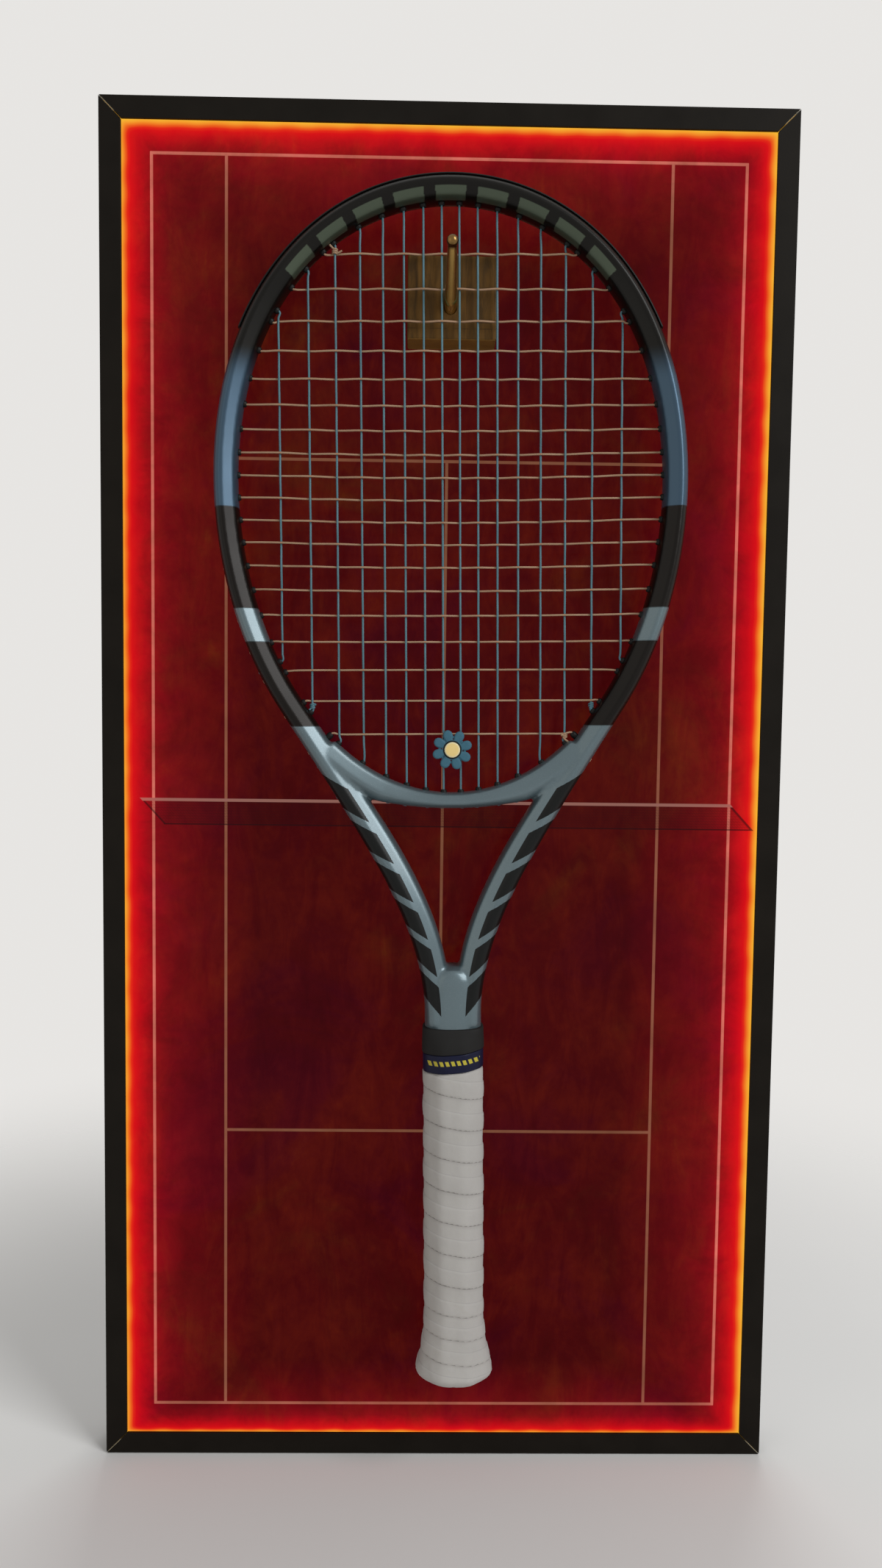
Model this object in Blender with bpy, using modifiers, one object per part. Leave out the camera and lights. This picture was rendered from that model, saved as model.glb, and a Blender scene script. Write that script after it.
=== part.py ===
"""Racket display frame: a slim LED light box, with a strung racket hung on a brass peg.

The light box stands in the XZ plane, its back on the wall plane y = 0 and its front facing -Y.
The racket is built in its own flat frame, u across, v up the racket and w towards the viewer.
It hangs from the peg by an empty.
"""

import math

import bmesh
import bpy
from mathutils import Matrix, Vector

MM = 0.001

# Gap between neighbouring parts that touch.
CLEAR = 0.3 * MM

# Light box, outside sizes and the sections of its aluminium rails.
BOX_W = 400 * MM
BOX_H = 800 * MM
BOX_D = 30 * MM
LIP_W = 12.5 * MM
LIP_T = 2.0 * MM
RAIL_WALL = 1.8 * MM
SHELF_W = 7.5 * MM
SHELF_T = 1.5 * MM
LEDGE_W = 9.0 * MM
LEDGE_T = 2.0 * MM
MITRE_GAP = 0.3 * MM
PANEL_T = 3.0 * MM
BACK_T = 3.0 * MM

# Corner brackets inside the mitres.
BRACKET_LEG = 30 * MM
BRACKET_T = 2.0 * MM
BRACKET_W = 8.0 * MM

# LED strips on the inside walls.
STRIP_T = 1.0 * MM
STRIP_W = 6.0 * MM
LED_H = 1.2 * MM
LED_DRAFT = 1.4 * MM
LEAD_SLANT = 10 * MM
STRIP_END = 14 * MM

# Back: hanging bar with keyholes, back panel screws, and the low-voltage socket.
BAR_H = 34 * MM
KEYHOLE_SPACING = 240 * MM
KEYHOLE_HEAD_D = 10 * MM
KEYHOLE_SLOT_W = 5.0 * MM
KEYHOLE_RISE = 10 * MM
SCREW_D = 3.0 * MM
SCREW_HEAD_D = 6.0 * MM
SCREW_HEAD_H = 1.6 * MM
SCREW_INSET = 6.0 * MM
PANEL_SCREW_L = 7.0 * MM
SOCKET_D = 11 * MM
SOCKET_FLANGE_D = 15 * MM
SOCKET_FLANGE_T = 1.5 * MM
SOCKET_L = 16 * MM
SOCKET_BORE = 6.4 * MM
SOCKET_BORE_L = 10 * MM
SOCKET_PIN_D = 2.0 * MM
SOCKET_SIDE = 80 * MM
SOCKET_LOW = 40 * MM
LEAD_D = 2.4 * MM
LEAD_TAIL = 6.0 * MM

# Wooden block that carries the peg, and the packing piece behind it.
BLOCK_W = 50 * MM
BLOCK_H = 46 * MM
BLOCK_T = 20.3 * MM
BLOCK_Z = 285.2 * MM
BLOCK_X = 1.5 * MM
BACKER_W = 70 * MM
BLOCK_SCREW_X = 15 * MM
BLOCK_SCREW_GRIP = 14 * MM

# Brass peg, tapered, with a ball end.
PEG_TILT = math.radians(33)
PEG_BASE_D = 7.2 * MM
PEG_TIP_D = 4.9 * MM
PEG_BALL_D = 6.4 * MM
PEG_OUT = 36.8 * MM
PEG_IN = 12 * MM
PEG_X = 0.6 * MM

# Strings and their pattern. The gap behind them lets the racket swing on the tilted peg.
STRING_D = 1.3 * MM
STRING_GAP = 2.0 * MM
MAINS = 16
CROSSES = 19
WEAVE = 1.55 * MM
MAIN_PITCH = 9.7 * MM
MAIN_SPREAD = 0.2 * MM
MAIN_SPREAD_OUT = 0.028 * MM
CROSS_PITCH = 12.3 * MM
CROSS_SPREAD = 0.0305 * MM
CROSS_MID = 174.2 * MM
LANE = 1.45 * MM
KNOT_LANE = 1.2 * MM
RAMP = 3.0 * MM
RUN_STEP = 10 * MM
HOLE_STEP = 7.0 * MM
KNOT_D = 2.0 * MM

# Racket frame: the egg of the head, the arms of the throat, the shaft.
RACKET_L = 685.8 * MM
HEAD_A = 128.3 * MM
HEAD_B = 170.0 * MM
HEAD_V = 171.4 * MM
HEAD_SHOULDER = 0.064
HEAD_SQUARE = 0.019
HOOP_W = 13.2 * MM
HOOP_D = 24 * MM
ARM_W = 16.4 * MM
ARM_FOOT_W = 15.2 * MM
ARM_FOOT_U = 8.3 * MM
ARM_TURN = 2.3
ARM_FOOT_V = -125 * MM
ARM_TOP_PULL = 100 * MM
ARM_FOOT_PULL = 60 * MM
YOKE_W = 9.2 * MM
YOKE_D = 21 * MM
YOKE_FLARE = 5.3 * MM
YOKE_FLARE_U = 39 * MM
YOKE_TURN = 2.58
SHAFT_TOP_V = -93.7 * MM
SHAFT_W = 32.6 * MM
SHAFT_D = 24.6 * MM
CORE_W = 26 * MM
CORE_D = 20 * MM
LEAN = math.radians(-0.93)

# Grommets: groove round the rim, strip floor, barrels and bores.
GROOVE_W = 6.4 * MM
GROOVE_DEPTH = 3.0 * MM
FLOOR_T = 1.0 * MM
CHANNEL_W = 4.8 * MM
BARREL_D = 3.4 * MM
BORE_D = 2.2 * MM
NUB_L = 1.5 * MM
GUARD_T = 0.8 * MM
GUARD_W = 17.2 * MM
GUARD_SLOPE = 0.2
GUARD_END = 0.435
STRIP_END_S = 1.47

# Handle: pallet, wrapped grip, collar, band and butt.
COLLAR_TOP_V = -126.8 * MM
COLLAR_H = 14.0 * MM
COLLAR_LIP = 0.14
COLLAR_NECK = 0.45
COLLAR_SHOULDER = 0.62
COLLAR_T = 1.8 * MM
BAND_H = 10.4 * MM
BAND_T = 1.4 * MM
BAND_SLANT = 0.075
PALLET_W = 31.2 * MM
PALLET_D = 26.8 * MM
PALLET_TOP_V = -136 * MM
PALLET_BEVEL = 0.42
CORNER_EASE = 0.16
GRIP_T = 1.5 * MM
LAP_STEP = 0.6 * MM
LAP_PITCH = 18.6 * MM
FLARE_W = 10.4 * MM
FLARE_L = 34 * MM
BUTT_T = 6 * MM
BUTT_ROUND = 8 * MM
PLUG_INSET = 6 * MM
PLUG_EDGE = 0.6 * MM
DOOR_T = 1.5 * MM
DOOR_SHARE = 0.62

# Vibration dampener on the two centre mains.
DAMP_V = 32.4 * MM
PETALS = 8
PETAL_R = 11.5 * MM
PETAL_DIP = 3.4 * MM
PETAL_T = 2.4 * MM
HUB_D = 10.8 * MM
HUB_T = 1.6 * MM
DISC_D = 9.6 * MM
DISC_T = 1.4 * MM
RECESS = 0.7 * MM

HOOP_STEPS = 18
ARM_STEPS = 8
SCREW_SIDES = 8

# Places that follow from the sizes.
FRONT_Y = -BOX_D
PANEL_FRONT_Y = FRONT_Y + LIP_T + CLEAR
PANEL_BACK_Y = PANEL_FRONT_Y + PANEL_T
BLOCK_FRONT_Y = PANEL_FRONT_Y - CLEAR - BLOCK_T
STRING_R = STRING_D / 2
STRING_Y = BLOCK_FRONT_Y - STRING_GAP - WEAVE - STRING_R
INSIDE = RAIL_WALL + CLEAR
BACK_FRONT_Y = -BACK_T
LED_Y = PANEL_BACK_Y + CLEAR + SHELF_T + CLEAR + STRIP_W / 2
SOCKET_X = BOX_W / 2 - SOCKET_SIDE
SOCKET_Z = -BOX_H / 2 + SOCKET_LOW
HEAD_TOP_V = HEAD_V + HEAD_B + HOOP_W / 2 + CLEAR + GUARD_T
BUTT_V = HEAD_TOP_V - RACKET_L


def new_collection(name):
    group = bpy.data.collections.new(name)
    bpy.context.scene.collection.children.link(group)
    return group


for old in list(bpy.data.objects):
    bpy.data.objects.remove(old)
PARTS = new_collection("racket_display_frame")
CUTTERS = new_collection("cutters")


def material(name, colour, roughness, metallic=0.0):
    made = bpy.data.materials.new(name)
    made.use_nodes = True
    shader = made.node_tree.nodes["Principled BSDF"]
    shader.inputs["Base Color"].default_value = (*colour, 1)
    shader.inputs["Roughness"].default_value = roughness
    shader.inputs["Metallic"].default_value = metallic
    return made


def add(name, mesh, finish=None, group=None):
    piece = bpy.data.objects.new(name, mesh)
    (group or PARTS).objects.link(piece)
    if finish:
        mesh.materials.append(finish)
    return piece


def tool(piece):
    """Turns a piece into a cutter or other helper that isn't part of the object."""
    for group in list(piece.users_collection):
        group.objects.unlink(piece)
    CUTTERS.objects.link(piece)
    piece.hide_render = True
    piece.display_type = "WIRE"
    return piece


def boolean(piece, other, operation, solver):
    step = piece.modifiers.new(f"{operation.lower()} {other.name}", "BOOLEAN")
    step.operation = operation
    step.solver = solver
    step.object = tool(other)
    return piece


def cut(piece, other, solver="EXACT"):
    return boolean(piece, other, "DIFFERENCE", solver)


def union(piece, other, solver="EXACT"):
    return boolean(piece, other, "UNION", solver)


def smooth(piece, angle=35):
    piece.data.shade_smooth()
    piece.data.set_sharp_from_angle(angle=math.radians(angle))
    return piece


def mesh_from(name, work):
    bmesh.ops.recalc_face_normals(work, faces=work.faces)
    mesh = bpy.data.meshes.new(name)
    work.to_mesh(mesh)
    work.free()
    return mesh


def box(name, size, centre, finish=None):
    work = bmesh.new()
    bmesh.ops.create_cube(work, size=1)
    bmesh.ops.scale(work, vec=size, verts=work.verts)
    piece = add(name, mesh_from(name, work), finish)
    piece.location = centre
    return piece


def bevel(piece, width, segments=2):
    step = piece.modifiers.new("bevel", "BEVEL")
    step.width = width
    step.segments = segments
    step.limit_method = "ANGLE"
    return piece


def cylinder(name, radius, length, matrix, sides=24, finish=None):
    """A cylinder along the matrix's Z axis, centred on its origin."""
    work = bmesh.new()
    bmesh.ops.create_cone(work, cap_ends=True, segments=sides, radius1=radius, radius2=radius, depth=length)
    piece = add(name, mesh_from(name, work), finish)
    piece.matrix_world = matrix
    return piece


def plate(name, outline, thickness, finish=None):
    """A flat plate from a closed outline in its local XY plane, centred on z = 0."""
    work = bmesh.new()
    face = work.faces.new([work.verts.new((x, y, -thickness / 2)) for x, y in outline])
    made = bmesh.ops.extrude_face_region(work, geom=[face])["geom"]
    rise = [item for item in made if isinstance(item, bmesh.types.BMVert)]
    bmesh.ops.translate(work, vec=(0, 0, thickness), verts=rise)
    return add(name, mesh_from(name, work), finish)


def tube(name, points, radius, swell=None, resolution=1, finish=None):
    """A round tube through the points, with a radius factor for each point where swell is given."""
    curve = bpy.data.curves.new(name, "CURVE")
    curve.dimensions = "3D"
    curve.bevel_depth = radius
    curve.bevel_resolution = resolution
    curve.use_fill_caps = True
    curve.twist_mode = "MINIMUM"
    spline = curve.splines.new("POLY")
    spline.points.add(len(points) - 1)
    for index, (point, co) in enumerate(zip(spline.points, points)):
        point.co = (*co, 1)
        point.radius = swell[index] if swell else 1
    return solid_from_curve(name, curve, finish)


def solid_from_curve(name, curve, finish):
    source = bpy.data.objects.new(f"{name}_curve", curve)
    bpy.context.scene.collection.objects.link(source)
    graph = bpy.context.evaluated_depsgraph_get()
    mesh = bpy.data.meshes.new_from_object(source.evaluated_get(graph))
    bpy.data.objects.remove(source)
    work = bmesh.new()
    work.from_mesh(mesh)
    bmesh.ops.remove_doubles(work, verts=work.verts, dist=0.001 * MM)
    return add(name, mesh_from(name, work), finish)


def turned(name, profile, matrix, steps=24, finish=None):
    """A solid of revolution about local Z, from (radius, height) points that run down from its top."""
    mesh = bpy.data.meshes.new(name)
    points = [(radius, 0, height) for radius, height in profile]
    mesh.from_pydata(points, [(i, i + 1) for i in range(len(points) - 1)], [])
    piece = add(name, mesh, finish)
    piece.matrix_world = matrix
    step = piece.modifiers.new("turn", "SCREW")
    step.steps = steps
    step.render_steps = steps
    step.use_merge_vertices = True
    step.merge_threshold = 0.001 * MM
    return piece


def loft(name, rings, finish=None):
    """Skins rings of equal point counts with flat triangles, and a cap at each end."""
    work = bmesh.new()
    made = [[work.verts.new(point) for point in ring] for ring in rings]
    count = len(rings[0])
    for first, second in zip(made, made[1:]):
        for i in range(count):
            j = (i + 1) % count
            work.faces.new((first[i], first[j], second[j], second[i]))
    work.faces.new(made[0][::-1])
    work.faces.new(made[-1])
    bmesh.ops.triangulate(work, faces=work.faces)
    return add(name, mesh_from(name, work), finish)


def oval(half_w, half_d, squareness=2.4, count=12):
    """Points of a rounded section, with a flat at each end of both axes."""
    turn = math.pi / count
    power = 2 / squareness
    flat = math.cos(turn) ** power
    made = []
    for i in range(count):
        angle = turn + i * math.tau / count
        x = math.copysign(abs(math.cos(angle)) ** power, math.cos(angle))
        y = math.copysign(abs(math.sin(angle)) ** power, math.sin(angle))
        made.append((half_w * x / flat, half_d * y / flat))
    return made


def octagon(half_w, half_d, rounding=CORNER_EASE):
    """Points of the handle's eight-sided section, with each corner eased unless rounding is 0."""
    a = half_w * PALLET_BEVEL
    b = half_d * PALLET_BEVEL
    corners = []
    for x, y in ((1, 1), (-1, 1), (-1, -1), (1, -1)):
        pair = [Vector((x * half_w, y * b)), Vector((x * a, y * half_d))]
        corners += pair if x * y > 0 else pair[::-1]
    if not rounding:
        return [(point.x, point.y) for point in corners]
    made = []
    for i, corner in enumerate(corners):
        made.append(corner.lerp(corners[i - 1], rounding))
        made.append(corner.lerp(corners[(i + 1) % len(corners)], rounding))
    return [(point.x, point.y) for point in made]


# Finishes, with the colours of the photograph.
BLACK_METAL = material("black_frame", (0.012, 0.012, 0.013), 0.35, 0.6)
PRINT = material("court_print", (0.21, 0.02, 0.012), 0.12)
BACK_SHEET = material("back_sheet", (0.32, 0.33, 0.34), 0.45, 0.7)
BARE_METAL = material("bare_aluminium", (0.6, 0.61, 0.62), 0.35, 1.0)
STEEL = material("zinc_steel", (0.55, 0.56, 0.58), 0.3, 1.0)
LED_TAPE = material("led_tape", (0.85, 0.55, 0.2), 0.5)
BLACK_PLASTIC = material("black_plastic", (0.015, 0.015, 0.015), 0.45)
RED_WIRE = material("red_wire", (0.4, 0.02, 0.02), 0.5)
DARK_WOOD = material("dark_wood", (0.09, 0.045, 0.02), 0.55)
PLAIN_WOOD = material("plain_wood", (0.45, 0.3, 0.17), 0.7)
BRASS = material("brass", (0.62, 0.42, 0.14), 0.25, 1.0)
RACKET_PAINT = material("racket_paint", (0.23, 0.3, 0.33), 0.22, 0.3)
GROMMET = material("black_grommet", (0.012, 0.012, 0.013), 0.5)
BLUE_STRING = material("blue_string", (0.1, 0.3, 0.4), 0.3)
PALE_STRING = material("pale_string", (0.45, 0.36, 0.25), 0.35)
FOAM = material("handle_foam", (0.25, 0.25, 0.26), 0.8)
WHITE_TAPE = material("white_tape", (0.75, 0.74, 0.78), 0.65)
BLACK_RUBBER = material("black_rubber", (0.02, 0.02, 0.02), 0.7)
NAVY_TAPE = material("navy_tape", (0.012, 0.015, 0.07), 0.4)
TEAL_RUBBER = material("teal_rubber", (0.12, 0.42, 0.45), 0.5)
CREAM_RUBBER = material("cream_rubber", (0.75, 0.68, 0.5), 0.5)


# Light box.


def rail_profile():
    """The rail's section: x runs inwards from the outer face, y back from the front."""
    channel = LIP_T + PANEL_T + 2 * CLEAR
    ledge = BOX_D - BACK_T - CLEAR
    return [
        (0, 0),
        (LIP_W, 0),
        (LIP_W, LIP_T),
        (RAIL_WALL, LIP_T),
        (RAIL_WALL, channel),
        (SHELF_W, channel),
        (SHELF_W, channel + SHELF_T),
        (RAIL_WALL, channel + SHELF_T),
        (RAIL_WALL, ledge - LEDGE_T),
        (LEDGE_W, ledge - LEDGE_T),
        (LEDGE_W, ledge),
        (RAIL_WALL, ledge),
        (RAIL_WALL, BOX_D),
        (0, BOX_D),
    ]


def side_matrix(side):
    """Local X runs inwards from a side of the box, Y towards the wall and Z along the side."""
    inward, middle = {
        "left": ((1, 0, 0), (-BOX_W / 2, FRONT_Y, 0)),
        "right": ((-1, 0, 0), (BOX_W / 2, FRONT_Y, 0)),
        "top": ((0, 0, -1), (0, FRONT_Y, BOX_H / 2)),
        "bottom": ((0, 0, 1), (0, FRONT_Y, -BOX_H / 2)),
    }[side]
    x_axis = Vector(inward)
    y_axis = Vector((0, 1, 0))
    frame = Matrix((x_axis, y_axis, x_axis.cross(y_axis))).transposed().to_4x4()
    return Matrix.Translation(middle) @ frame


def side_length(side):
    return BOX_H if side in ("left", "right") else BOX_W


def rail(side):
    name = f"frame_rail_{side}"
    length = side_length(side)
    piece = plate(name, rail_profile(), length, BLACK_METAL)
    for vertex in piece.data.vertices:
        end = math.copysign(1, vertex.co.z)
        vertex.co.z = end * (length / 2 - vertex.co.x - MITRE_GAP / math.sqrt(2))
    piece.matrix_world = side_matrix(side)
    return piece


def bracket(name, side_x, side_z):
    """An L of flat bar in one corner, behind the LED strips."""
    x, z = BOX_W / 2 - INSIDE, BOX_H / 2 - INSIDE
    outline = [
        (x, z),
        (x - BRACKET_LEG, z),
        (x - BRACKET_LEG, z - BRACKET_T),
        (x - BRACKET_T, z - BRACKET_T),
        (x - BRACKET_T, z - BRACKET_LEG),
        (x, z - BRACKET_LEG),
    ]
    outline = [(side_x * a, side_z * b) for a, b in outline]
    piece = plate(name, outline, BRACKET_W, BARE_METAL)
    ledge_front = -BACK_T - CLEAR - LEDGE_T
    middle = ledge_front - CLEAR - BRACKET_W / 2
    piece.matrix_world = Matrix.Translation((0, middle, 0)) @ Matrix.Rotation(
        math.pi / 2, 4, "X"
    )
    return piece


def led_strip(side):
    """A coated LED strip along one side wall, a low dome over its tape."""
    base, top = INSIDE, INSIDE + STRIP_T
    half = STRIP_W / 2
    outline = [
        (base, -half),
        (top, -half),
        (top + LED_H, -half + LED_DRAFT),
        (top + LED_H, half - LED_DRAFT),
        (top, half),
        (base, half),
    ]
    length = side_length(side) - 2 * (INSIDE + STRIP_END)
    piece = plate(f"led_strip_{side}", outline, length, LED_TAPE)
    piece.matrix_world = side_matrix(side) @ Matrix.Translation((0, LED_Y - FRONT_Y, 0))
    return piece


def screw_matrix(x, z):
    """Local Z runs from a screw's tip out to its head, at the wall plane."""
    return Matrix.Translation((x, 0, z)) @ Matrix.Rotation(-math.pi / 2, 4, "X")


def screw_profile(length, grow=0.0):
    """A countersunk screw whose head is flush with the wall plane, or its hole."""
    shank, head = SCREW_D / 2 + grow, SCREW_HEAD_D / 2 + grow
    top = 2 * CLEAR if grow else -CLEAR
    tip = -length - grow
    return [(0, top), (head, top), (head, -2 * CLEAR), (shank, -SCREW_HEAD_H), (shank, tip), (0, tip)]


def screw(name, x, z, length, held):
    """A screw and its hole through each of the pieces that it holds."""
    place = screw_matrix(x, z)
    for piece in held:
        hole = turned(f"{name}_hole_{piece.name}", screw_profile(length, CLEAR), place, SCREW_SIDES)
        cut(piece, hole)
    return smooth(turned(name, screw_profile(length), place, SCREW_SIDES, STEEL))


def keyhole_outline(x, z):
    """Round entry below, slot above with a round end."""
    half = KEYHOLE_SLOT_W / 2
    radius = KEYHOLE_HEAD_D / 2
    start = math.asin(half / radius)
    points = []
    for i in range(13):
        angle = math.pi / 2 + start + i * (math.tau - 2 * start) / 12
        points.append((x + radius * math.cos(angle), z + radius * math.sin(angle)))
    for i in range(7):
        angle = i * math.pi / 6
        points.append((x + half * math.cos(angle), z + KEYHOLE_RISE + half * math.sin(angle)))
    return points


def back_of_box(rails):
    """Back panel, hanging bar and the screws that hold them to the rails' ledges."""
    width = BOX_W - 2 * INSIDE
    bar_top = BOX_H / 2 - INSIDE
    bar_low = bar_top - BAR_H
    panel_h = bar_low - CLEAR + bar_top
    panel_z = bar_low - CLEAR - panel_h / 2
    bar_z = bar_low + BAR_H / 2
    panel = box("back_panel", (width, BACK_T, panel_h), (0, -BACK_T / 2, panel_z), BACK_SHEET)
    bar = box("hanging_bar", (width, BACK_T, BAR_H), (0, -BACK_T / 2, bar_z), BARE_METAL)
    key_z = (bar_low + bar_top - KEYHOLE_RISE) / 2
    for side, word in ((-1, "left"), (1, "right")):
        outline = keyhole_outline(side * KEYHOLE_SPACING / 2, key_z)
        keyhole = plate(f"keyhole_{word}", outline, 3 * BACK_T)
        keyhole.matrix_world = Matrix.Rotation(math.pi / 2, 4, "X")
        cut(bar, keyhole)
    x = BOX_W / 2 - SCREW_INSET
    places = {
        "back_screw_upper_left": (-x, bar_z, "left", bar),
        "back_screw_upper_right": (x, bar_z, "right", bar),
        "back_screw_lower_left": (-x, -BOX_H / 4, "left", panel),
        "back_screw_lower_right": (x, -BOX_H / 4, "right", panel),
    }
    for name, (x, z, side, sheet) in places.items():
        screw(name, x, z, PANEL_SCREW_L, [sheet, rails[side]])
    return panel


def socket_and_lead(panel):
    """The low-voltage socket in the back panel, and the lead from it to the bottom LED strip."""
    matrix = screw_matrix(SOCKET_X, SOCKET_Z)
    flange_back = -CLEAR
    flange_r, body_r = SOCKET_FLANGE_D / 2, SOCKET_D / 2
    bore_r, pin_r = SOCKET_BORE / 2, SOCKET_PIN_D / 2
    profile = [
        (0, flange_back - SOCKET_FLANGE_T),
        (pin_r, flange_back - SOCKET_FLANGE_T),
        (pin_r, flange_back - SOCKET_BORE_L),
        (bore_r, flange_back - SOCKET_BORE_L),
        (bore_r, flange_back),
        (flange_r, flange_back),
        (flange_r, flange_back - SOCKET_FLANGE_T),
        (body_r, flange_back - SOCKET_FLANGE_T),
        (body_r, -SOCKET_L),
        (0, -SOCKET_L),
    ]
    smooth(turned("power_socket", profile, matrix, 16, BLACK_PLASTIC))
    step = SOCKET_FLANGE_T + 2 * CLEAR
    seat = [
        (0, 2 * CLEAR),
        (flange_r + CLEAR, 2 * CLEAR),
        (flange_r + CLEAR, -step),
        (body_r + CLEAR, -step),
        (body_r + CLEAR, -SOCKET_L),
        (0, -SOCKET_L),
    ]
    cut(panel, turned("socket_seat", seat, matrix, 16))
    strip_top = -BOX_H / 2 + INSIDE + STRIP_T + LED_H + CLEAR
    fall = SOCKET_Z - strip_top
    solder_y = -SOCKET_L - CLEAR
    reach = LED_Y - solder_y
    route = [Vector((SOCKET_X, solder_y, SOCKET_Z))]
    for across, out, down in ((0, 0.55, 0), (0.15, 1.1, 0.08), (0.5, 1.0, 0.3)):
        point = (SOCKET_X - across * LEAD_SLANT, solder_y + out * reach, SOCKET_Z - down * fall)
        route.append(Vector(point))
    route.append(Vector((SOCKET_X - LEAD_SLANT, LED_Y, strip_top + LEAD_TAIL)))
    route.append(Vector((SOCKET_X - LEAD_SLANT, LED_Y, strip_top)))
    tube("inlet_lead", route, LEAD_D / 2, resolution=2, finish=RED_WIRE)


def peg_frame():
    """Local Z runs out along the peg, from the point where its axis meets the string plane."""
    direction = Vector((0, -math.cos(PEG_TILT), math.sin(PEG_TILT)))
    x_axis = Vector((1, 0, 0))
    frame = Matrix((x_axis, direction.cross(x_axis), direction)).transposed().to_4x4()
    return Matrix.Translation((PEG_X, STRING_Y, hang_height())) @ frame


def hang_height():
    """Height of the peg's axis in the string plane, with the second cross string resting on the peg."""
    return cross_v(1) - STRING_R - CLEAR - PEG_BASE_D / 2 / math.cos(PEG_TILT)


def block_and_peg(panel_front, panel_back):
    centre = (BLOCK_X, BLOCK_FRONT_Y + BLOCK_T / 2, BLOCK_Z)
    block = bevel(box("wood_block", (BLOCK_W, BLOCK_T, BLOCK_H), centre, DARK_WOOD), 0.8 * MM)
    backer_t = BACK_FRONT_Y - PANEL_BACK_Y - 2 * CLEAR
    backer_centre = (BLOCK_X, (BACK_FRONT_Y + PANEL_BACK_Y) / 2, BLOCK_Z)
    backer = box("packing_block", (BACKER_W, backer_t, BACKER_W), backer_centre, PLAIN_WOOD)
    length = -(BLOCK_FRONT_Y + BLOCK_T) + BLOCK_SCREW_GRIP
    for side, word in ((-1, "left"), (1, "right")):
        held = [block, backer, panel_front, panel_back]
        screw(f"block_screw_{word}", BLOCK_X + side * BLOCK_SCREW_X, BLOCK_Z, length, held)
    frame = peg_frame()
    inner = (STRING_Y - BLOCK_FRONT_Y) / math.cos(PEG_TILT) - PEG_IN
    ball_r = PEG_BALL_D / 2
    profile = []
    neck = math.asin(PEG_TIP_D / 2 / ball_r)
    for i in range(7):
        angle = i * (math.pi - neck) / 6
        profile.append((ball_r * math.sin(angle), PEG_OUT + ball_r * math.cos(angle)))
    profile += [(PEG_BASE_D / 2, 0), (PEG_BASE_D / 2, inner), (0, inner)]
    profile[0] = (0, PEG_OUT + ball_r)
    smooth(turned("brass_peg", profile, frame, 16, BRASS))
    hole_r = PEG_BASE_D / 2 + CLEAR
    profile = [(0, 0), (hole_r, 0), (hole_r, inner - CLEAR), (0, inner - CLEAR)]
    cut(block, turned("peg_hole", profile, frame, 16))


def light_box():
    rails = {side: rail(side) for side in ("top", "bottom", "left", "right")}
    for side in rails:
        led_strip(side)
    for word_z, side_z in (("top", 1), ("bottom", -1)):
        for word_x, side_x in (("left", -1), ("right", 1)):
            bracket(f"corner_bracket_{word_z}_{word_x}", side_x, side_z)
    size = (BOX_W - 2 * INSIDE, PANEL_T, BOX_H - 2 * INSIDE)
    front = box("court_panel", size, (0, PANEL_FRONT_Y + PANEL_T / 2, 0), PRINT)
    back = back_of_box(rails)
    socket_and_lead(back)
    block_and_peg(front, back)


# Racket, in its own frame.


def head_centre(t):
    """Centre line of the head: t is 0 at the top and pi at the yoke, positive on the right."""
    u = HEAD_A * math.sin(t) * (1 + HEAD_SHOULDER * math.cos(t) + HEAD_SQUARE * math.cos(2 * t))
    return Vector((u, HEAD_V + HEAD_B * math.cos(t)))


def outward(curve, x, step=1e-4):
    """Unit normal to the left of a plane curve's direction of travel."""
    along = (curve(x + step) - curve(x - step)).normalized()
    return Vector((-along.y, along.x))


def head_edge(t, out):
    return head_centre(t) + outward(head_centre, t) * out


def rim_centre(s):
    """The hairpin's centre line: s runs over the head within -1 and 1, and down the arms to -2 and 2."""
    side = -1 if s < 0 else 1
    if abs(s) <= 1:
        return head_centre(s * ARM_TURN)
    start = head_centre(ARM_TURN)
    along = outward(head_centre, ARM_TURN)
    foot = Vector((ARM_FOOT_U, ARM_FOOT_V))
    top_pull = start + Vector((along.y, -along.x)) * ARM_TOP_PULL
    handles = (start, top_pull, foot + Vector((0, ARM_FOOT_PULL)), foot)
    b = abs(s) - 1
    a = 1 - b
    point = handles[0] * a**3 + handles[1] * 3 * a * a * b + handles[2] * 3 * a * b * b + handles[3] * b**3
    return Vector((side * point.x, point.y))


def ease(share):
    """A smooth step from 0 to 1."""
    share = max(0.0, min(1.0, share))
    return share * share * (3 - 2 * share)


def rim_half(s):
    """Half the rim's width in the plane of the head."""
    into_arm = ease((abs(s) - 0.95) / 0.5)
    into_shaft = ease((abs(s) - 1.6) / 0.4)
    return (HOOP_W + (ARM_W - HOOP_W) * into_arm + (ARM_FOOT_W - ARM_W) * into_shaft) / 2


def rim_edge(s, out):
    return rim_centre(s) + outward(rim_centre, s) * out


def rim_stations(first=-2.0, last=2.0):
    """Stations along the hairpin, at the same places for every piece that follows it."""
    side = [i / HOOP_STEPS for i in range(HOOP_STEPS + 1)]
    side += [1 + i / ARM_STEPS for i in range(1, ARM_STEPS + 1)]
    whole = sorted({-s for s in side} | set(side))
    return [first, *[s for s in whole if first + 0.005 < s < last - 0.005], last]


def sweep(name, stations, section, finish=None):
    """Skins a section of (out, w) points along the rim; out is measured from the rim's centre line."""
    rings = []
    for s in stations:
        normal = outward(rim_centre, s)
        centre = rim_centre(s)
        rings.append([(centre.x + normal.x * out, centre.y + normal.y * out, w) for out, w in section(s)])
    return loft(name, rings, finish)


def yoke_half(t):
    """Half the yoke's width, growing to the shoulders."""
    share = min(1.0, abs(head_centre(t).x) / YOKE_FLARE_U)
    return (YOKE_W + YOKE_FLARE * share**2) / 2


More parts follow.
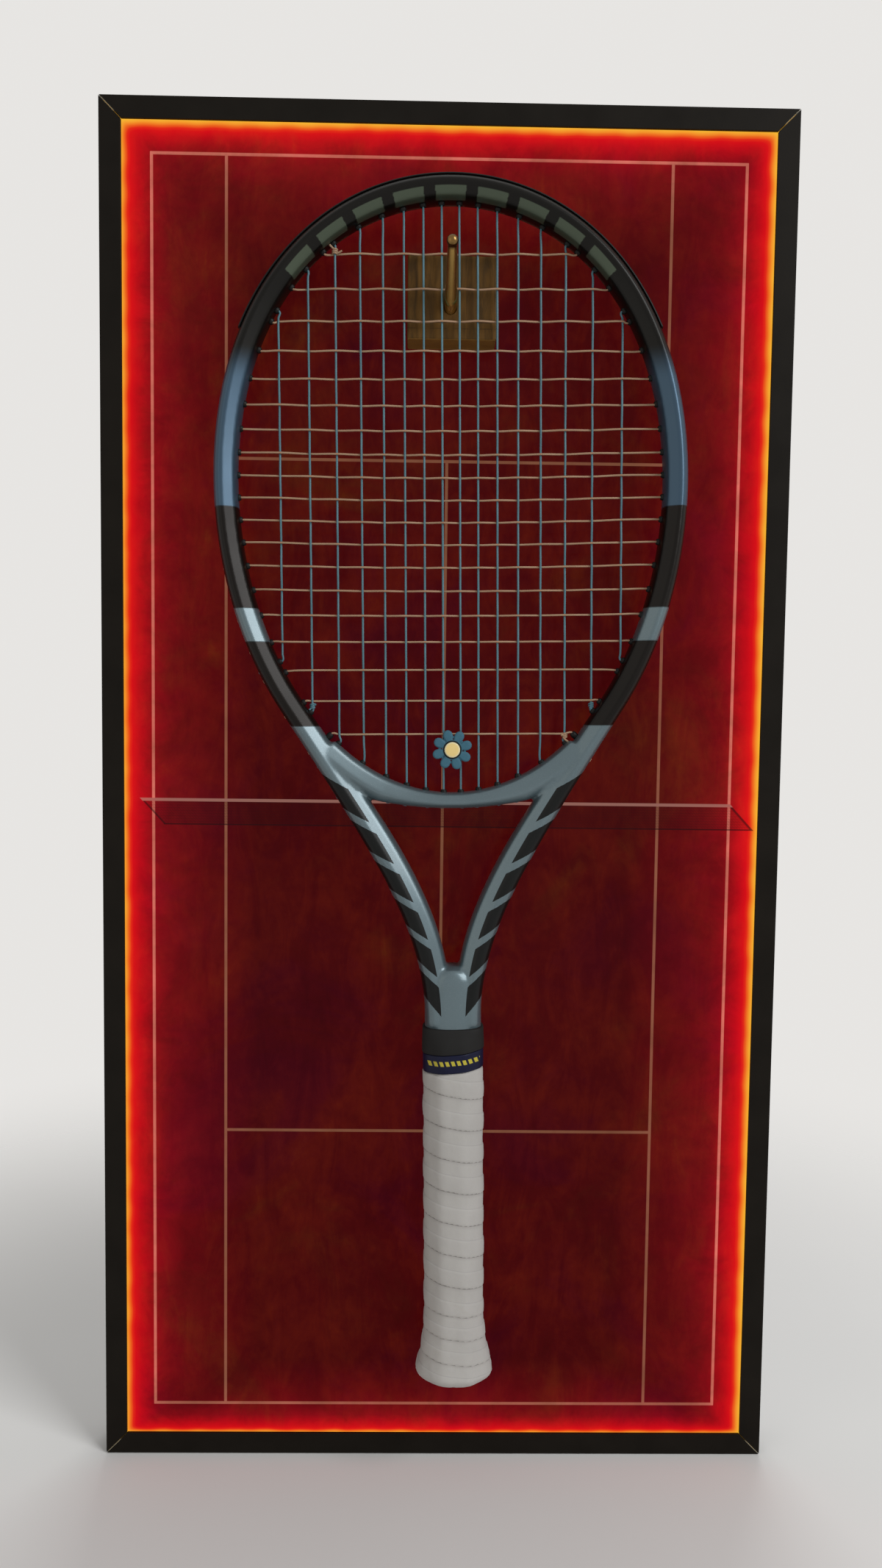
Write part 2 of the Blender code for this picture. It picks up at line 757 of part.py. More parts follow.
def yoke_edge(t, out):
    """A point measured outwards from the yoke's centre line, whose inner edge is the head's."""
    return head_edge(t, yoke_half(t) - HOOP_W / 2 + out)


def yoke_range(limit, steps):
    return [math.pi + (2 * i / steps - 1) * (math.pi - limit) for i in range(steps + 1)]


def solve(function, low, high):
    """Bisects for a root between two bounds of unlike sign."""
    rising = function(high) > 0
    for _ in range(50):
        middle = (low + high) / 2
        if (function(middle) > 0) == rising:
            high = middle
        else:
            low = middle
    return (low + high) / 2


def main_u(index):
    """Place of a main string across the head, closer set at the middle."""
    s = index - (MAINS - 1) / 2
    return s * (MAIN_PITCH + MAIN_SPREAD * abs(s) + MAIN_SPREAD_OUT * s * s)


def cross_v(index):
    """Height of a cross string, counted from the top."""
    s = (CROSSES - 1) / 2 - index
    return CROSS_MID + s * (CROSS_PITCH + CROSS_SPREAD * s * s)


MOUTH = -HOOP_W / 2 - NUB_L
WIDEST = 1.5


def string_holes():
    """Places round the right half of the head where strings leave it: {(kind, index, end): t}."""
    places = {}
    for index in range(MAINS // 2, MAINS):
        target = main_u(index)
        top = solve(lambda t: head_edge(t, MOUTH).x - target, 0.0, WIDEST)
        low = solve(lambda t: head_edge(t, MOUTH).x - target, WIDEST, math.pi)
        places["main", index, "top"] = top
        places["main", index, "low"] = low
    for index in range(CROSSES):
        target = cross_v(index)
        low, high = 0.01, math.pi - 0.01
        places["cross", index, "end"] = solve(lambda t: head_edge(t, MOUTH).y - target, low, high)
    order = sorted(places, key=places.get)
    for _ in range(60):
        for first, second in zip(order, order[1:]):
            span = (head_edge(places[second], 0) - head_edge(places[first], 0)).length
            short = HOLE_STEP - span
            if short > 0:
                share = (places[second] - places[first] + 1e-6) / (span + 1e-9) * short / 2
                places[first] -= share
                places[second] += share
    return places


class Bore:
    """One string hole, from its mouth inside the head out to the groove of the head or the yoke."""

    def __init__(self, key, t, side):
        self.key = key
        self.side = side
        self.t = t
        self.in_yoke = key[0] == "main" and key[2] == "low" and main_u(key[1]) < YOKE_FLARE_U
        mouth = head_edge(t, MOUTH)
        if self.in_yoke:
            self.axis = Vector((0, -1))
            self.exit_t = solve(lambda x: yoke_edge(x, yoke_floor(x)).x - mouth.x, math.pi - 0.9, math.pi)
            self.far = yoke_edge(self.exit_t, yoke_floor(self.exit_t))
            self.s = None
        else:
            self.axis = outward(head_centre, t)
            self.s = solve(lambda x: self.beyond(mouth, x), 0.0, 1.6)
            self.far = rim_edge(self.s, rim_floor(self.s))
        self.mouth = mouth

    def beyond(self, mouth, s):
        reach = rim_edge(s, rim_floor(s)) - mouth
        return self.axis.x * reach.y - self.axis.y * reach.x

    def at(self, distance, w=0.0):
        """A point on the axis, outwards from the mouth."""
        point = self.mouth + self.axis * distance
        return Vector((self.side * point.x, point.y, w))

    def length(self):
        return (self.far - self.mouth).length

    def prism(self, work, radius, start, end, sides):
        """Adds a prism along the axis between two distances from the mouth."""
        low, high = self.at(start), self.at(end)
        along = (high - low).normalized()
        frame = Matrix((along.cross(Vector((0, 0, 1))), Vector((0, 0, 1)), along)).transposed().to_4x4()
        place = Matrix.Translation((low + high) / 2) @ frame
        size = {"radius1": radius, "radius2": radius, "depth": (high - low).length}
        bmesh.ops.create_cone(work, cap_ends=True, segments=sides, matrix=place, **size)


def rim_floor(s):
    """Level of a grommet strip's outer face in the rim's groove, from the centre line."""
    return rim_half(s) - GROOVE_DEPTH + CLEAR + FLOOR_T


def yoke_floor(t):
    return yoke_half(t) - GROOVE_DEPTH + CLEAR + FLOOR_T


def all_bores():
    bores = {}
    for key, t in string_holes().items():
        kind, index, end = key
        right = Bore(key, t, 1)
        bores[kind, index, end, 1] = right
        left = Bore(key, t, -1)
        bores[kind, MAINS - 1 - index if kind == "main" else index, end, -1] = left
    return bores


def prisms(name, bores, radius, start, end, sides=6):
    work = bmesh.new()
    for bore in bores:
        bore.prism(work, radius, start(bore), end(bore), sides)
    return add(name, mesh_from(name, work))


def racket_frame(bores):
    piece = sweep("racket_frame", rim_stations(), lambda s: oval(rim_half(s), HOOP_D / 2), RACKET_PAINT)
    rings = []
    for t in yoke_range(YOKE_TURN, 14):
        normal = outward(head_centre, t)
        centre = yoke_edge(t, 0)
        section = oval(yoke_half(t), YOKE_D / 2)
        rings.append([(centre.x + normal.x * out, centre.y + normal.y * out, w) for out, w in section])
    union(piece, loft("yoke", rings), "MANIFOLD")
    union(piece, shaft(), "MANIFOLD")
    half = GROOVE_W / 2

    def rim_groove(s):
        inner, outer = rim_half(s) - GROOVE_DEPTH, rim_half(s) + 3 * MM
        return [(inner, -half), (outer, -half), (outer, half), (inner, half)]

    groove_end = STRIP_END_S + 0.01
    cut(piece, sweep("rim_groove", rim_stations(-groove_end, groove_end), rim_groove), "MANIFOLD")
    rings = []
    for t in yoke_stations(YOKE_FLARE_U + 2 * MM):
        centre, normal = yoke_edge(t, 0), outward(head_centre, t)
        inner, outer = yoke_half(t) - GROOVE_DEPTH, yoke_half(t) + 1.2 * MM
        section = [(inner, -half), (outer, -half), (outer, half), (inner, half)]
        rings.append([(centre.x + normal.x * out, centre.y + normal.y * out, w) for out, w in section])
    cut(piece, loft("yoke_groove", rings), "MANIFOLD")
    drill = prisms(
        "string_holes",
        bores.values(),
        BARREL_D / 2 + CLEAR / math.cos(math.pi / 6),
        lambda bore: 0.2 * MM,
        lambda bore: bore.length() + 0.5 * MM,
    )
    cut(piece, drill, "MANIFOLD")
    return smooth(piece, 40)


def yoke_stations(reach):
    """Stations along the yoke whose outer edge runs from -reach to reach."""
    return yoke_range(solve(lambda t: yoke_edge(t, yoke_half(t)).x - reach, YOKE_TURN, math.pi), 12)


def shaft():
    """The shaft below the throat, and the core that runs on inside the handle."""
    full_w, full_d = SHAFT_W / 2, SHAFT_D / 2
    core_w, core_d = CORE_W / 2, CORE_D / 2
    foot = BUTT_V + BUTT_T + CLEAR
    levels = [
        (SHAFT_TOP_V, 0.42 * full_w, 0.75 * full_d),
        (SHAFT_TOP_V - 0.09 * SHAFT_W, 0.72 * full_w, 0.92 * full_d),
        (SHAFT_TOP_V - 0.37 * SHAFT_W, 0.96 * full_w, full_d),
        (COLLAR_TOP_V - 0.4 * COLLAR_H, full_w, full_d),
        (COLLAR_TOP_V - 0.47 * COLLAR_H, core_w, core_d),
        (foot, core_w, core_d),
    ]
    return loft("shaft", [[(x, v, y) for x, y in oval(w, d, 3.0, 16)] for v, w, d in levels])


def channel_section(base, floor):
    """A grommet strip's section: a floor with a low wall each side."""
    outer, inner = GROOVE_W / 2 - CLEAR, CHANNEL_W / 2
    top = floor + STRING_D
    half = [(floor, inner), (top, inner), (top, outer), (base, outer)]
    return [(out, -w) for out, w in half[::-1]] + half


def rim_channel(s):
    base = rim_half(s) - GROOVE_DEPTH + CLEAR
    return channel_section(base, rim_floor(s))


def guard_section(s):
    """The bumper: a channel in the groove with a sloping wing over the rim on each side."""
    base = rim_half(s) - GROOVE_DEPTH + CLEAR
    floor = rim_floor(s)
    lift = rim_half(s) + CLEAR
    outer, inner, wing = GROOVE_W / 2 - CLEAR, CHANNEL_W / 2, GUARD_W / 2
    drop = GUARD_SLOPE * (wing - outer)
    half = [
        (floor, inner),
        (lift + GUARD_T, inner),
        (lift + GUARD_T - drop, wing),
        (lift - drop, wing),
        (lift, outer),
        (base, outer),
    ]
    return [(out, -w) for out, w in half[::-1]] + half


def strip_with_barrels(name, base, bores):
    """Gives a strip a barrel for each string hole, bored right through."""

    def root(bore):
        return bore.length() - FLOOR_T / 2

    def past(bore):
        return bore.length() + FLOOR_T

    barrels = prisms(f"{name}_barrels", bores, BARREL_D / 2, lambda bore: 0.0, root)
    piece = union(base, barrels, "MANIFOLD")
    bore_cut = prisms(f"{name}_bores", bores, BORE_D / 2, lambda bore: -NUB_L, past, 4)
    return smooth(cut(piece, bore_cut, "MANIFOLD"), 40)


def grommets(bores):
    rim = [bore for bore in bores.values() if not bore.in_yoke]
    yoke = [bore for bore in bores.values() if bore.in_yoke]
    top = [bore for bore in rim if bore.s < GUARD_END]
    guard = sweep("bumper_guard", rim_stations(-GUARD_END, GUARD_END), guard_section, GROMMET)
    strip_with_barrels("bumper_guard", guard, top)
    gap = 0.002
    for side, word in ((-1, "left"), (1, "right")):
        first, last = sorted((side * (GUARD_END + gap), side * STRIP_END_S))
        name = f"grommet_strip_{word}"
        base = sweep(name, rim_stations(first, last), rim_channel, GROMMET)
        strip_with_barrels(name, base, [b for b in rim if b.side == side and b.s > GUARD_END])
    rings = []
    half = GROOVE_W / 2 - CLEAR
    for t in yoke_stations(YOKE_FLARE_U + 1.4 * MM):
        centre, normal = yoke_edge(t, 0), outward(head_centre, t)
        low = yoke_half(t) - GROOVE_DEPTH + CLEAR
        section = [(low, -half), (low + FLOOR_T, -half), (low + FLOOR_T, half), (low, half)]
        rings.append([(centre.x + normal.x * out, centre.y + normal.y * out, w) for out, w in section])
    strip_with_barrels("grommet_strip_throat", loft("grommet_strip_throat", rings, GROMMET), yoke)


def entry(bore, other):
    """Where a string that comes from another point turns into its bore, just inside the head."""
    point = bore.at(0)
    turn = (point - other).angle(bore.at(1) - point)
    return bore.at(-STRING_R * math.tan(turn / 2) - 0.1 * MM)


def corner(bore):
    """Where a string turns from its bore into the groove."""
    return bore.at(bore.length() + CLEAR + STRING_R)


def groove_run(first, second, lane):
    """Points of a string in the groove between two bores, beside the strings that leave on the way."""
    lift = CLEAR + STRING_R
    if first.in_yoke:
        ends = [bore.exit_t if bore.side > 0 else math.tau - bore.exit_t for bore in (first, second)]
        place = lambda x: yoke_edge(x, yoke_floor(x) + lift)
    else:
        ends = [bore.s * bore.side for bore in (first, second)]
        place = lambda x: rim_edge(x, rim_floor(x) + lift)
    length = (place(ends[0]) - place(ends[1])).length
    ramp = RAMP / length
    steps = max(1, math.ceil(length * (1 - 2 * ramp) / RUN_STEP))
    shares = [ramp + i * (1 - 2 * ramp) / steps for i in range(steps + 1)]
    points = [corner(first)]
    for share in shares:
        point = place(ends[0] + share * (ends[1] - ends[0]))
        points.append(Vector((point.x, point.y, lane)))
    points.append(corner(second))
    return points


def knot_end(bore, towards, lane):
    """A string's end in the groove: its points, and the swelling that can't pull back through."""
    lift = CLEAR + STRING_R
    knot = KNOT_D / STRING_D
    run = []
    s = bore.s * bore.side
    unit = (rim_edge(s + 0.001, 0) - rim_edge(s - 0.001, 0)).length / 0.002
    for distance, rise, size in ((3.0, 0, 1), (3.8, 0.35, knot), (5.4, 0.35, knot), (6.0, 0.35, 0.5)):
        point = rim_edge(s + towards * distance * MM / unit, rim_floor(s) + lift + rise * MM)
        run.append((Vector((point.x, point.y, lane)), size))
    points = [corner(bore), *[point for point, _ in run]]
    return points, [1, *[size for _, size in run]]


def main_string(bores):
    """One length through all the mains: both ends tied off at the top, turns in the groove between."""
    lane = -LANE
    points, swell = [], []
    crossing_top, crossing_low = cross_v(0), cross_v(CROSSES - 1)
    for index in range(MAINS):
        side = -1 if index < MAINS // 2 else 1
        top, low = bores["main", index, "top", side], bores["main", index, "low", side]
        u = main_u(index)
        upper = min(crossing_top, top.mouth.y - HOLE_STEP / 2)
        lower = max(crossing_low, low.mouth.y + HOLE_STEP / 2)
        high_end, low_end = Vector((u, upper, 0)), Vector((u, lower, 0))
        straight = [entry(top, high_end), high_end, low_end, entry(low, low_end)]
        down = index % 2 == 0
        if index == 0:
            run, size = knot_end(top, 1, -KNOT_LANE)
            points += run[::-1]
            swell += size[::-1]
        points += straight if down else straight[::-1]
        if index == MAINS - 1:
            run, size = knot_end(top, -1, -KNOT_LANE)
            points += run
            swell += [1] * (len(points) - len(run) - len(swell)) + size
            break
        end = "low" if down else "top"
        next_side = -1 if index + 1 < MAINS // 2 else 1
        first, second = bores["main", index, end, side], bores["main", index + 1, end, next_side]
        points += groove_run(first, second, lane)
        swell += [1] * (len(points) - len(swell))
    return smooth(tube("main_string", points, STRING_R, swell, finish=BLUE_STRING), 50)


def cross_string(bores):
    """One length through all the crosses, over and under the mains, tied off at top left and low right."""
    points, swell = [], []
    for index in range(CROSSES):
        right_going = index % 2 == 0
        left, right = bores["cross", index, "end", -1], bores["cross", index, "end", 1]
        v = cross_v(index)
        woven = []
        for main in range(MAINS):
            side = -1 if main < MAINS // 2 else 1
            top, low = bores["main", main, "top", side], bores["main", main, "low", side]
            across = abs(main_u(main)) < right.mouth.x - 2 * MM
            if across and low.mouth.y + 2 * MM < v < top.mouth.y - 2 * MM:
                woven.append(Vector((main_u(main), v, WEAVE if (main + index) % 2 else -WEAVE)))
        run = [entry(left, woven[0]), *woven, entry(right, woven[-1])]
        if index == 0:
            ends, size = knot_end(left, -1, KNOT_LANE)
            points += ends[::-1]
            swell += size[::-1]
        points += run if right_going else run[::-1]
        swell += [1] * (len(points) - len(swell))
        side = 1 if right_going else -1
        if index == CROSSES - 1:
            ends, size = knot_end(bores["cross", index, "end", side], side, KNOT_LANE)
            points += ends
            swell += size
            break
        here, there = bores["cross", index, "end", side], bores["cross", index + 1, "end", side]
        points += groove_run(here, there, LANE)
        swell += [1] * (len(points) - len(swell))
    return smooth(tube("cross_string", points, STRING_R, swell, finish=PALE_STRING), 50)


def handle_half(v, extra=0.0):
    """Half width and half depth of the eight-sided handle at a height, with the flare at the butt."""
    foot = BUTT_V + BUTT_T
    share = max(0.0, min(1.0, 1 - (v - foot) / FLARE_L))
    flare = FLARE_W / 2 * share**2
    return PALLET_W / 2 + flare + extra, PALLET_D / 2 + 0.85 * flare + extra


def handle_loft(name, levels, finish=None, ease=CORNER_EASE):
    """An eight-sided loft through (height, half width, half depth, slant) levels."""
    rings = [[(x, v + slant * x, y) for x, y in octagon(w, d, ease)] for v, w, d, slant in levels]
    return loft(name, rings, finish)


def flare_levels(top, extra):
    foot = BUTT_V + BUTT_T + CLEAR
    heights = [top, *[foot + FLARE_L * share for share in (1.0, 0.7, 0.45, 0.2)], foot]
    return [(v, *handle_half(v, extra), 0) for v in heights]


def handle():
    pallet = handle_loft("handle_pallet", flare_levels(PALLET_TOP_V, 0), FOAM)
    core = oval(CORE_W / 2 + CLEAR, CORE_D / 2 + CLEAR, 3.0, 16)
    levels = (PALLET_TOP_V + 2 * MM, BUTT_V)
    cut(pallet, loft("core_bore", [[(x, v, y) for x, y in core] for v in levels]))
    smooth(pallet, 30)
    band_top = COLLAR_TOP_V - COLLAR_H
    grip_top = band_top - BAND_H
    collar_and_band(band_top, grip_top)
    overgrip(grip_top - CLEAR)
    butt_cap()


def butt_cap():
    """The plug that closes the handle's foot, inside the overgrip's folded edge, and its door."""
    top = BUTT_V + BUTT_T
    wide, deep = handle_half(top, -PLUG_INSET)
    edge = PLUG_EDGE
    levels = [
        (top, wide, deep, 0),
        (BUTT_V + edge, wide, deep, 0),
        (BUTT_V, wide - edge, deep - edge, 0),
    ]
    plug = handle_loft("butt_cap", levels, BLACK_PLASTIC)
    door = wide * DOOR_SHARE, deep * DOOR_SHARE
    pocket = door[0] + CLEAR, door[1] + CLEAR
    levels = [(BUTT_V - DOOR_T, *pocket, 0), (BUTT_V + DOOR_T + CLEAR, *pocket, 0)]
    cut(plug, handle_loft("door_pocket", levels))
    smooth(plug, 30)
    handle_loft("butt_door", [(BUTT_V, *door, 0), (BUTT_V + DOOR_T, *door, 0)], BLACK_PLASTIC)


def collar_and_band(band_top, grip_top):
    """The rubber collar over the shaft's foot, and the tape band that ends the grip."""
    top_w, top_d = SHAFT_W / 2, SHAFT_D / 2
    low = handle_half(band_top, CLEAR + COLLAR_T)
    inner = handle_half(band_top, CLEAR)
    lip = COLLAR_TOP_V - COLLAR_LIP * COLLAR_H
    neck = COLLAR_TOP_V - COLLAR_NECK * COLLAR_H
    shoulder = COLLAR_TOP_V - COLLAR_SHOULDER * COLLAR_H
    slim, full = CLEAR + COLLAR_T / 2, CLEAR + COLLAR_T * 0.7
    rings = [
        [(x, COLLAR_TOP_V, y) for x, y in oval(top_w + slim, top_d + slim, 3.0, 16)],
        [(x, lip, y) for x, y in oval(top_w + full, top_d + full, 3.0, 16)],
        [(x, shoulder, y) for x, y in octagon(*low)],
        [(x, band_top + CLEAR + BAND_SLANT * x, y) for x, y in octagon(*low)],
    ]
    collar = loft("rubber_collar", rings, BLACK_RUBBER)
    throat = oval(top_w + CLEAR, top_d + CLEAR, 3.0, 16)
    rings = [
        [(x, COLLAR_TOP_V + COLLAR_T, y) for x, y in throat],
        [(x, neck, y) for x, y in throat],
        [(x, PALLET_TOP_V + CLEAR, y) for x, y in octagon(*inner)],
        [(x, band_top - BAND_H / 2, y) for x, y in octagon(*inner)],
    ]
    cut(collar, loft("collar_bore", rings))
    smooth(collar, 30)
    outer = handle_half(band_top, CLEAR + BAND_T)
    levels = [(band_top, *outer, BAND_SLANT), (grip_top, *outer, BAND_SLANT)]
    band = handle_loft("finishing_band", levels, NAVY_TAPE)
    reach = BAND_H / 2
    levels = [(band_top + reach, *inner, 0), (grip_top - reach, *inner, 0)]
    cut(band, handle_loft("band_bore", levels))
    smooth(band, 30)


def rounding(v):
    """How far the grip's outside draws in at a height, on its rounded edge at the butt."""
    drop = max(0.0, BUTT_V + BUTT_ROUND - v)
    return BUTT_ROUND - math.sqrt(max(0.0, BUTT_ROUND**2 - drop**2))


def wrap(top, foot):
    """A solid of helical laps about the handle, with flat ends: the upper one on the band's slant."""
    sides = 8
    turns = math.ceil((top - foot) / LAP_PITCH) + 3
    start = foot - 1.5 * LAP_PITCH
    work = bmesh.new()
    low, high = [], []
    for q in range(turns * sides + 1):
        v = start + LAP_PITCH * q / sides
        for edge, rise, lap in ((low, 0.0, 0.0), (high, 0.5 * MM, LAP_STEP)):
            half_w, half_d = handle_half(v + rise, GRIP_T + lap)
            x, y = octagon(half_w, half_d, 0)[q % sides]
            edge.append(work.verts.new((x, v + rise, y)))
    for q in range(turns * sides):
        work.faces.new((low[q + 1], low[q], high[q], high[q + 1]))
        if q + sides + 1 < len(low):
            work.faces.new((high[q + 1], high[q], low[q + sides], low[q + 1 + sides]))
    for level, slant, direction in ((top, BAND_SLANT, 1), (foot, 0.0, -1)):
        bmesh.ops.bisect_plane(
            work,
            geom=[*work.verts, *work.edges, *work.faces],
            dist=0.0001 * MM,
            plane_co=(0, level, 0),
            plane_no=Vector((-slant, 1, 0)).normalized() * direction,
            clear_outer=True,
        )
        near = []
        for edge in work.edges:
            off = [abs(v.co.y - slant * v.co.x - level) for v in edge.verts]
            if edge.is_boundary and max(off) < 0.001 * MM:
                near.append(edge)
        bmesh.ops.contextual_create(work, geom=near)
    return add("overgrip", mesh_from("overgrip", work), WHITE_TAPE)


def overgrip(top):
    """The wrapped tape: each lap's edge lies on the lap below, and the last folds in under the butt."""
    end = BUTT_V + PLUG_EDGE
    piece = wrap(top, end - MM)
    edge = [end, end + 1.4 * MM, end + 3.4 * MM, BUTT_V + BUTT_ROUND]
    levels = [(top + FLARE_L, *handle_half(end, GRIP_T + 2 * LAP_STEP), 0)]
    for v in edge[::-1]:
        levels.append((v, *handle_half(v, GRIP_T + 1.3 * LAP_STEP - rounding(v)), 0))
    boolean(piece, handle_loft("butt_envelope", levels, ease=0), "INTERSECT", "EXACT")
    shoulder = BUTT_V + BUTT_T
    plug = handle_half(shoulder, CLEAR - PLUG_INSET)
    levels = flare_levels(top + BAND_H / 2, CLEAR)[:-1]
    levels.append((shoulder, *handle_half(shoulder, CLEAR), 0))
    levels.append((shoulder, *plug, 0))
    levels.append((BUTT_V - MM, *plug, 0))
    cut(piece, handle_loft("grip_bore", levels, ease=0))
    return smooth(piece, 30)


def dampener():
    """A rubber flower gripping the two centre mains, and the disc at its centre."""
    back = WEAVE + STRING_R + CLEAR
    outline = []
    points = PETALS * 5
    for i in range(points):
        angle = i * math.tau / points
        radius = PETAL_R - PETAL_DIP * (1 - math.sqrt(abs(math.cos(angle * PETALS / 2))))
        outline.append((radius * math.cos(angle), radius * math.sin(angle)))
    flower = plate("dampener_flower", outline, PETAL_T, TEAL_RUBBER)
    for vertex in flower.data.vertices:
        vertex.co.z += back + PETAL_T / 2
    groove = STRING_R + CLEAR
    waist = main_u(MAINS // 2) - STRING_R - CLEAR
    hub = HUB_D / 2
    profile = [
        (0, back + PETAL_T / 2),
        (hub, back + PETAL_T / 2),
        (hub, groove),
        (waist, groove),
        (waist, -groove),
        (hub, -groove),
        (hub - 0.5 * MM, -groove - HUB_T),
        (0, -groove - HUB_T),
    ]
    union(flower, turned("dampener_hub", profile, Matrix.Identity(4), 14))
    front = back + PETAL_T
    recess = cylinder(
        "disc_recess", DISC_D / 2 + CLEAR, 2 * RECESS, Matrix.Translation((0, 0, front)), 24
    )
    cut(flower, recess)
    smooth(flower, 30)
    disc_low = front - RECESS + CLEAR
    disc = turned(
        "dampener_disc",
        [
            (0, disc_low + DISC_T),
            (DISC_D / 2 - 0.8 * MM, disc_low + DISC_T - 0.15 * MM),
            (DISC_D / 2, disc_low + 0.6 * DISC_T),
            (DISC_D / 2, disc_low),
            (0, disc_low),
        ],
        Matrix.Identity(4),
        24,
        CREAM_RUBBER,
    )
    return flower, smooth(disc)


def racket():
    before = set(bpy.data.objects)
    bores = all_bores()
    racket_frame(bores)
    grommets(bores)
    main_string(bores)
    cross_string(bores)
    handle()
    pieces = set(bpy.data.objects) - before
    hang_v = hang_height()
    hang = bpy.data.objects.new("racket_hang", None)
    PARTS.objects.link(hang)
    hang.matrix_world = (
        Matrix.Translation((PEG_X, STRING_Y, hang_height()))
        @ Matrix.Rotation(LEAN, 4, "Y")
        @ Matrix.Rotation(math.pi / 2, 4, "X")
    )
    for piece in pieces:
        piece.location.y -= hang_v
        piece.parent = hang
    seat = bpy.data.objects.new("dampener_seat", None)
    PARTS.objects.link(seat)
    seat.parent = hang
    seat.location = (0, DAMP_V - hang_v, 0)
    before = set(bpy.data.objects)
    dampener()
    for piece in set(bpy.data.objects) - before:
        piece.parent = seat


light_box()
racket()
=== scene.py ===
import math

import bmesh
import bpy
import numpy as np
from mathutils import Matrix, Vector, noise


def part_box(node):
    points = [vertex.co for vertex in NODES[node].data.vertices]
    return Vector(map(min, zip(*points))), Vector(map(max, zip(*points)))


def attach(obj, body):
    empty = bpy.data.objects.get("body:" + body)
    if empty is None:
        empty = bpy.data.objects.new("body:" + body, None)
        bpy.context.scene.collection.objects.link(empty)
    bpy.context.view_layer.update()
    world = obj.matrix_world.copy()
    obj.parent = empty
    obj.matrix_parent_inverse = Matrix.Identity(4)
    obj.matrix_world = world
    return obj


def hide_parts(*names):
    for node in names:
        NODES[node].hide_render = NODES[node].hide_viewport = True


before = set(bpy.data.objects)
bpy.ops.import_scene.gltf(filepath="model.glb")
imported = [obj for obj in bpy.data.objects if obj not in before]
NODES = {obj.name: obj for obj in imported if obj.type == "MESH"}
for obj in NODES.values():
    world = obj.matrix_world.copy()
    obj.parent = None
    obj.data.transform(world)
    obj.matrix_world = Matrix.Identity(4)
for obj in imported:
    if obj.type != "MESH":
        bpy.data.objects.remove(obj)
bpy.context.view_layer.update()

MM = 0.001
SCENE = bpy.context.scene

# Sizes in metres, shares, and angles in radians, most of them the same as in part.py.
# The racket's own frame is u across, v up and w towards the viewer; s runs round its rim.
CLEAR = 0.3 * MM
STRING_R = 0.65 * MM
MAIN_SHOWN_R = 0.62 * MM
CROSS_SHOWN_R = 0.57 * MM
MAINS = 16
CROSSES = 19
MAIN_WAVE = 0.5 * MM
CROSS_WAVE = 0.9 * MM
LANE = 1.45 * MM
KNOT_LANE = 1.2 * MM
RAMP = 3.0 * MM
RUN_STEP = 5 * MM
HOLE_STEP = 7.0 * MM
HEAD_A = 128.3 * MM
HEAD_B = 170.0 * MM
HEAD_V = 171.4 * MM
HOOP_W = 13.2 * MM
HOOP_D = 24 * MM
RIDGE = 0.28
RIDGE_FALL = 0.37
ARM_W = 16.4 * MM
ARM_FOOT_W = 15.2 * MM
ARM_FOOT_U = 8.3 * MM
ARM_FOOT_V = -125 * MM
ARM_TURN = 2.3
YOKE_W = 9.2 * MM
YOKE_D = 21 * MM
YOKE_FLARE = 5.3 * MM
YOKE_FLARE_U = 39 * MM
YOKE_TURN = 2.58
SHAFT_TOP_V = -93.7 * MM
SHAFT_W = 32.6 * MM
SHAFT_D = 24.6 * MM
LEAN = math.radians(-0.93)
GROOVE_W = 6.4 * MM
GROOVE_DEPTH = 3.0 * MM
FLOOR_T = 1.0 * MM
CHANNEL_W = 4.8 * MM
BARREL_R = 1.7 * MM
BORE_R = 1.0 * MM
NUB_L = 1.5 * MM
GUARD_T = 0.8 * MM
GUARD_W = 17.2 * MM
GUARD_SLOPE = 0.2
GUARD_END = 0.435
STRIP_END_S = 1.47
MOUTH = -HOOP_W / 2 - NUB_L
COLLAR_TOP_V = -126.8 * MM
COLLAR_H = 14.0 * MM
BAND_H = 10.4 * MM
BAND_T = 1.4 * MM
BAND_SLANT = 0.075
COLLAR_T = 1.8 * MM
PALLET_W = 31.2 * MM
PALLET_D = 26.8 * MM
PALLET_BEVEL = 0.42
GRIP_T = 1.5 * MM
LAP_STEP = 0.6 * MM
LAP_PITCH = 18.6 * MM
FLARE_W = 10.4 * MM
FLARE_L = 34 * MM
BUTT_T = 6 * MM
BUTT_ROUND = 8 * MM
PLUG_INSET = 6 * MM
PLUG_EDGE = 0.6 * MM
DOOR_SHARE = 0.62
BUTT_V = HEAD_V + HEAD_B + HOOP_W / 2 + CLEAR + GUARD_T - 685.8 * MM
DAMP_V = 32.4 * MM
PEG_TILT = math.radians(33)
PEG_OUT = 36.8 * MM
PEG_BASE_R = 3.6 * MM
PEG_TIP_R = 2.45 * MM
PEG_BALL_R = 3.2 * MM
HANG = Vector((0.6 * MM, -52.5 * MM, 282.973 * MM))
# Counts and steps of the meshes, and how square a rounded section is (an ellipse has 2).
ROUND = 96
SQUARENESS = 2.4
ANGLES = [i * math.tau / ROUND for i in range(ROUND)]
CORNER_BLUR = 5
SECTION_POINTS = 44
BARREL_SIDES = 14
GRIP_ROWS = 340
MOULDING_STEP = 0.012
# How far a string goes into its hole, and how near a hole two strings may cross.
STRING_IN = 3 * MM
HOLE_GAP = 2 * MM

# From the racket's frame to the wall's.
HUNG = Matrix.Translation(HANG) @ Matrix.Rotation(LEAN, 4, "Y") @ Matrix.Rotation(math.pi / 2, 4, "X")
HUNG = HUNG @ Matrix.Translation((0, -HANG.z, 0))


# Camera, lamps and background.

CAMERA_PLACE = (-0.01265, -0.7328, 0.0581)
CAMERA_TURNS = (("Z", -0.948), ("X", -3.820), ("Y", -0.728), ("X", 90))
CAMERA_LENS = 27.416
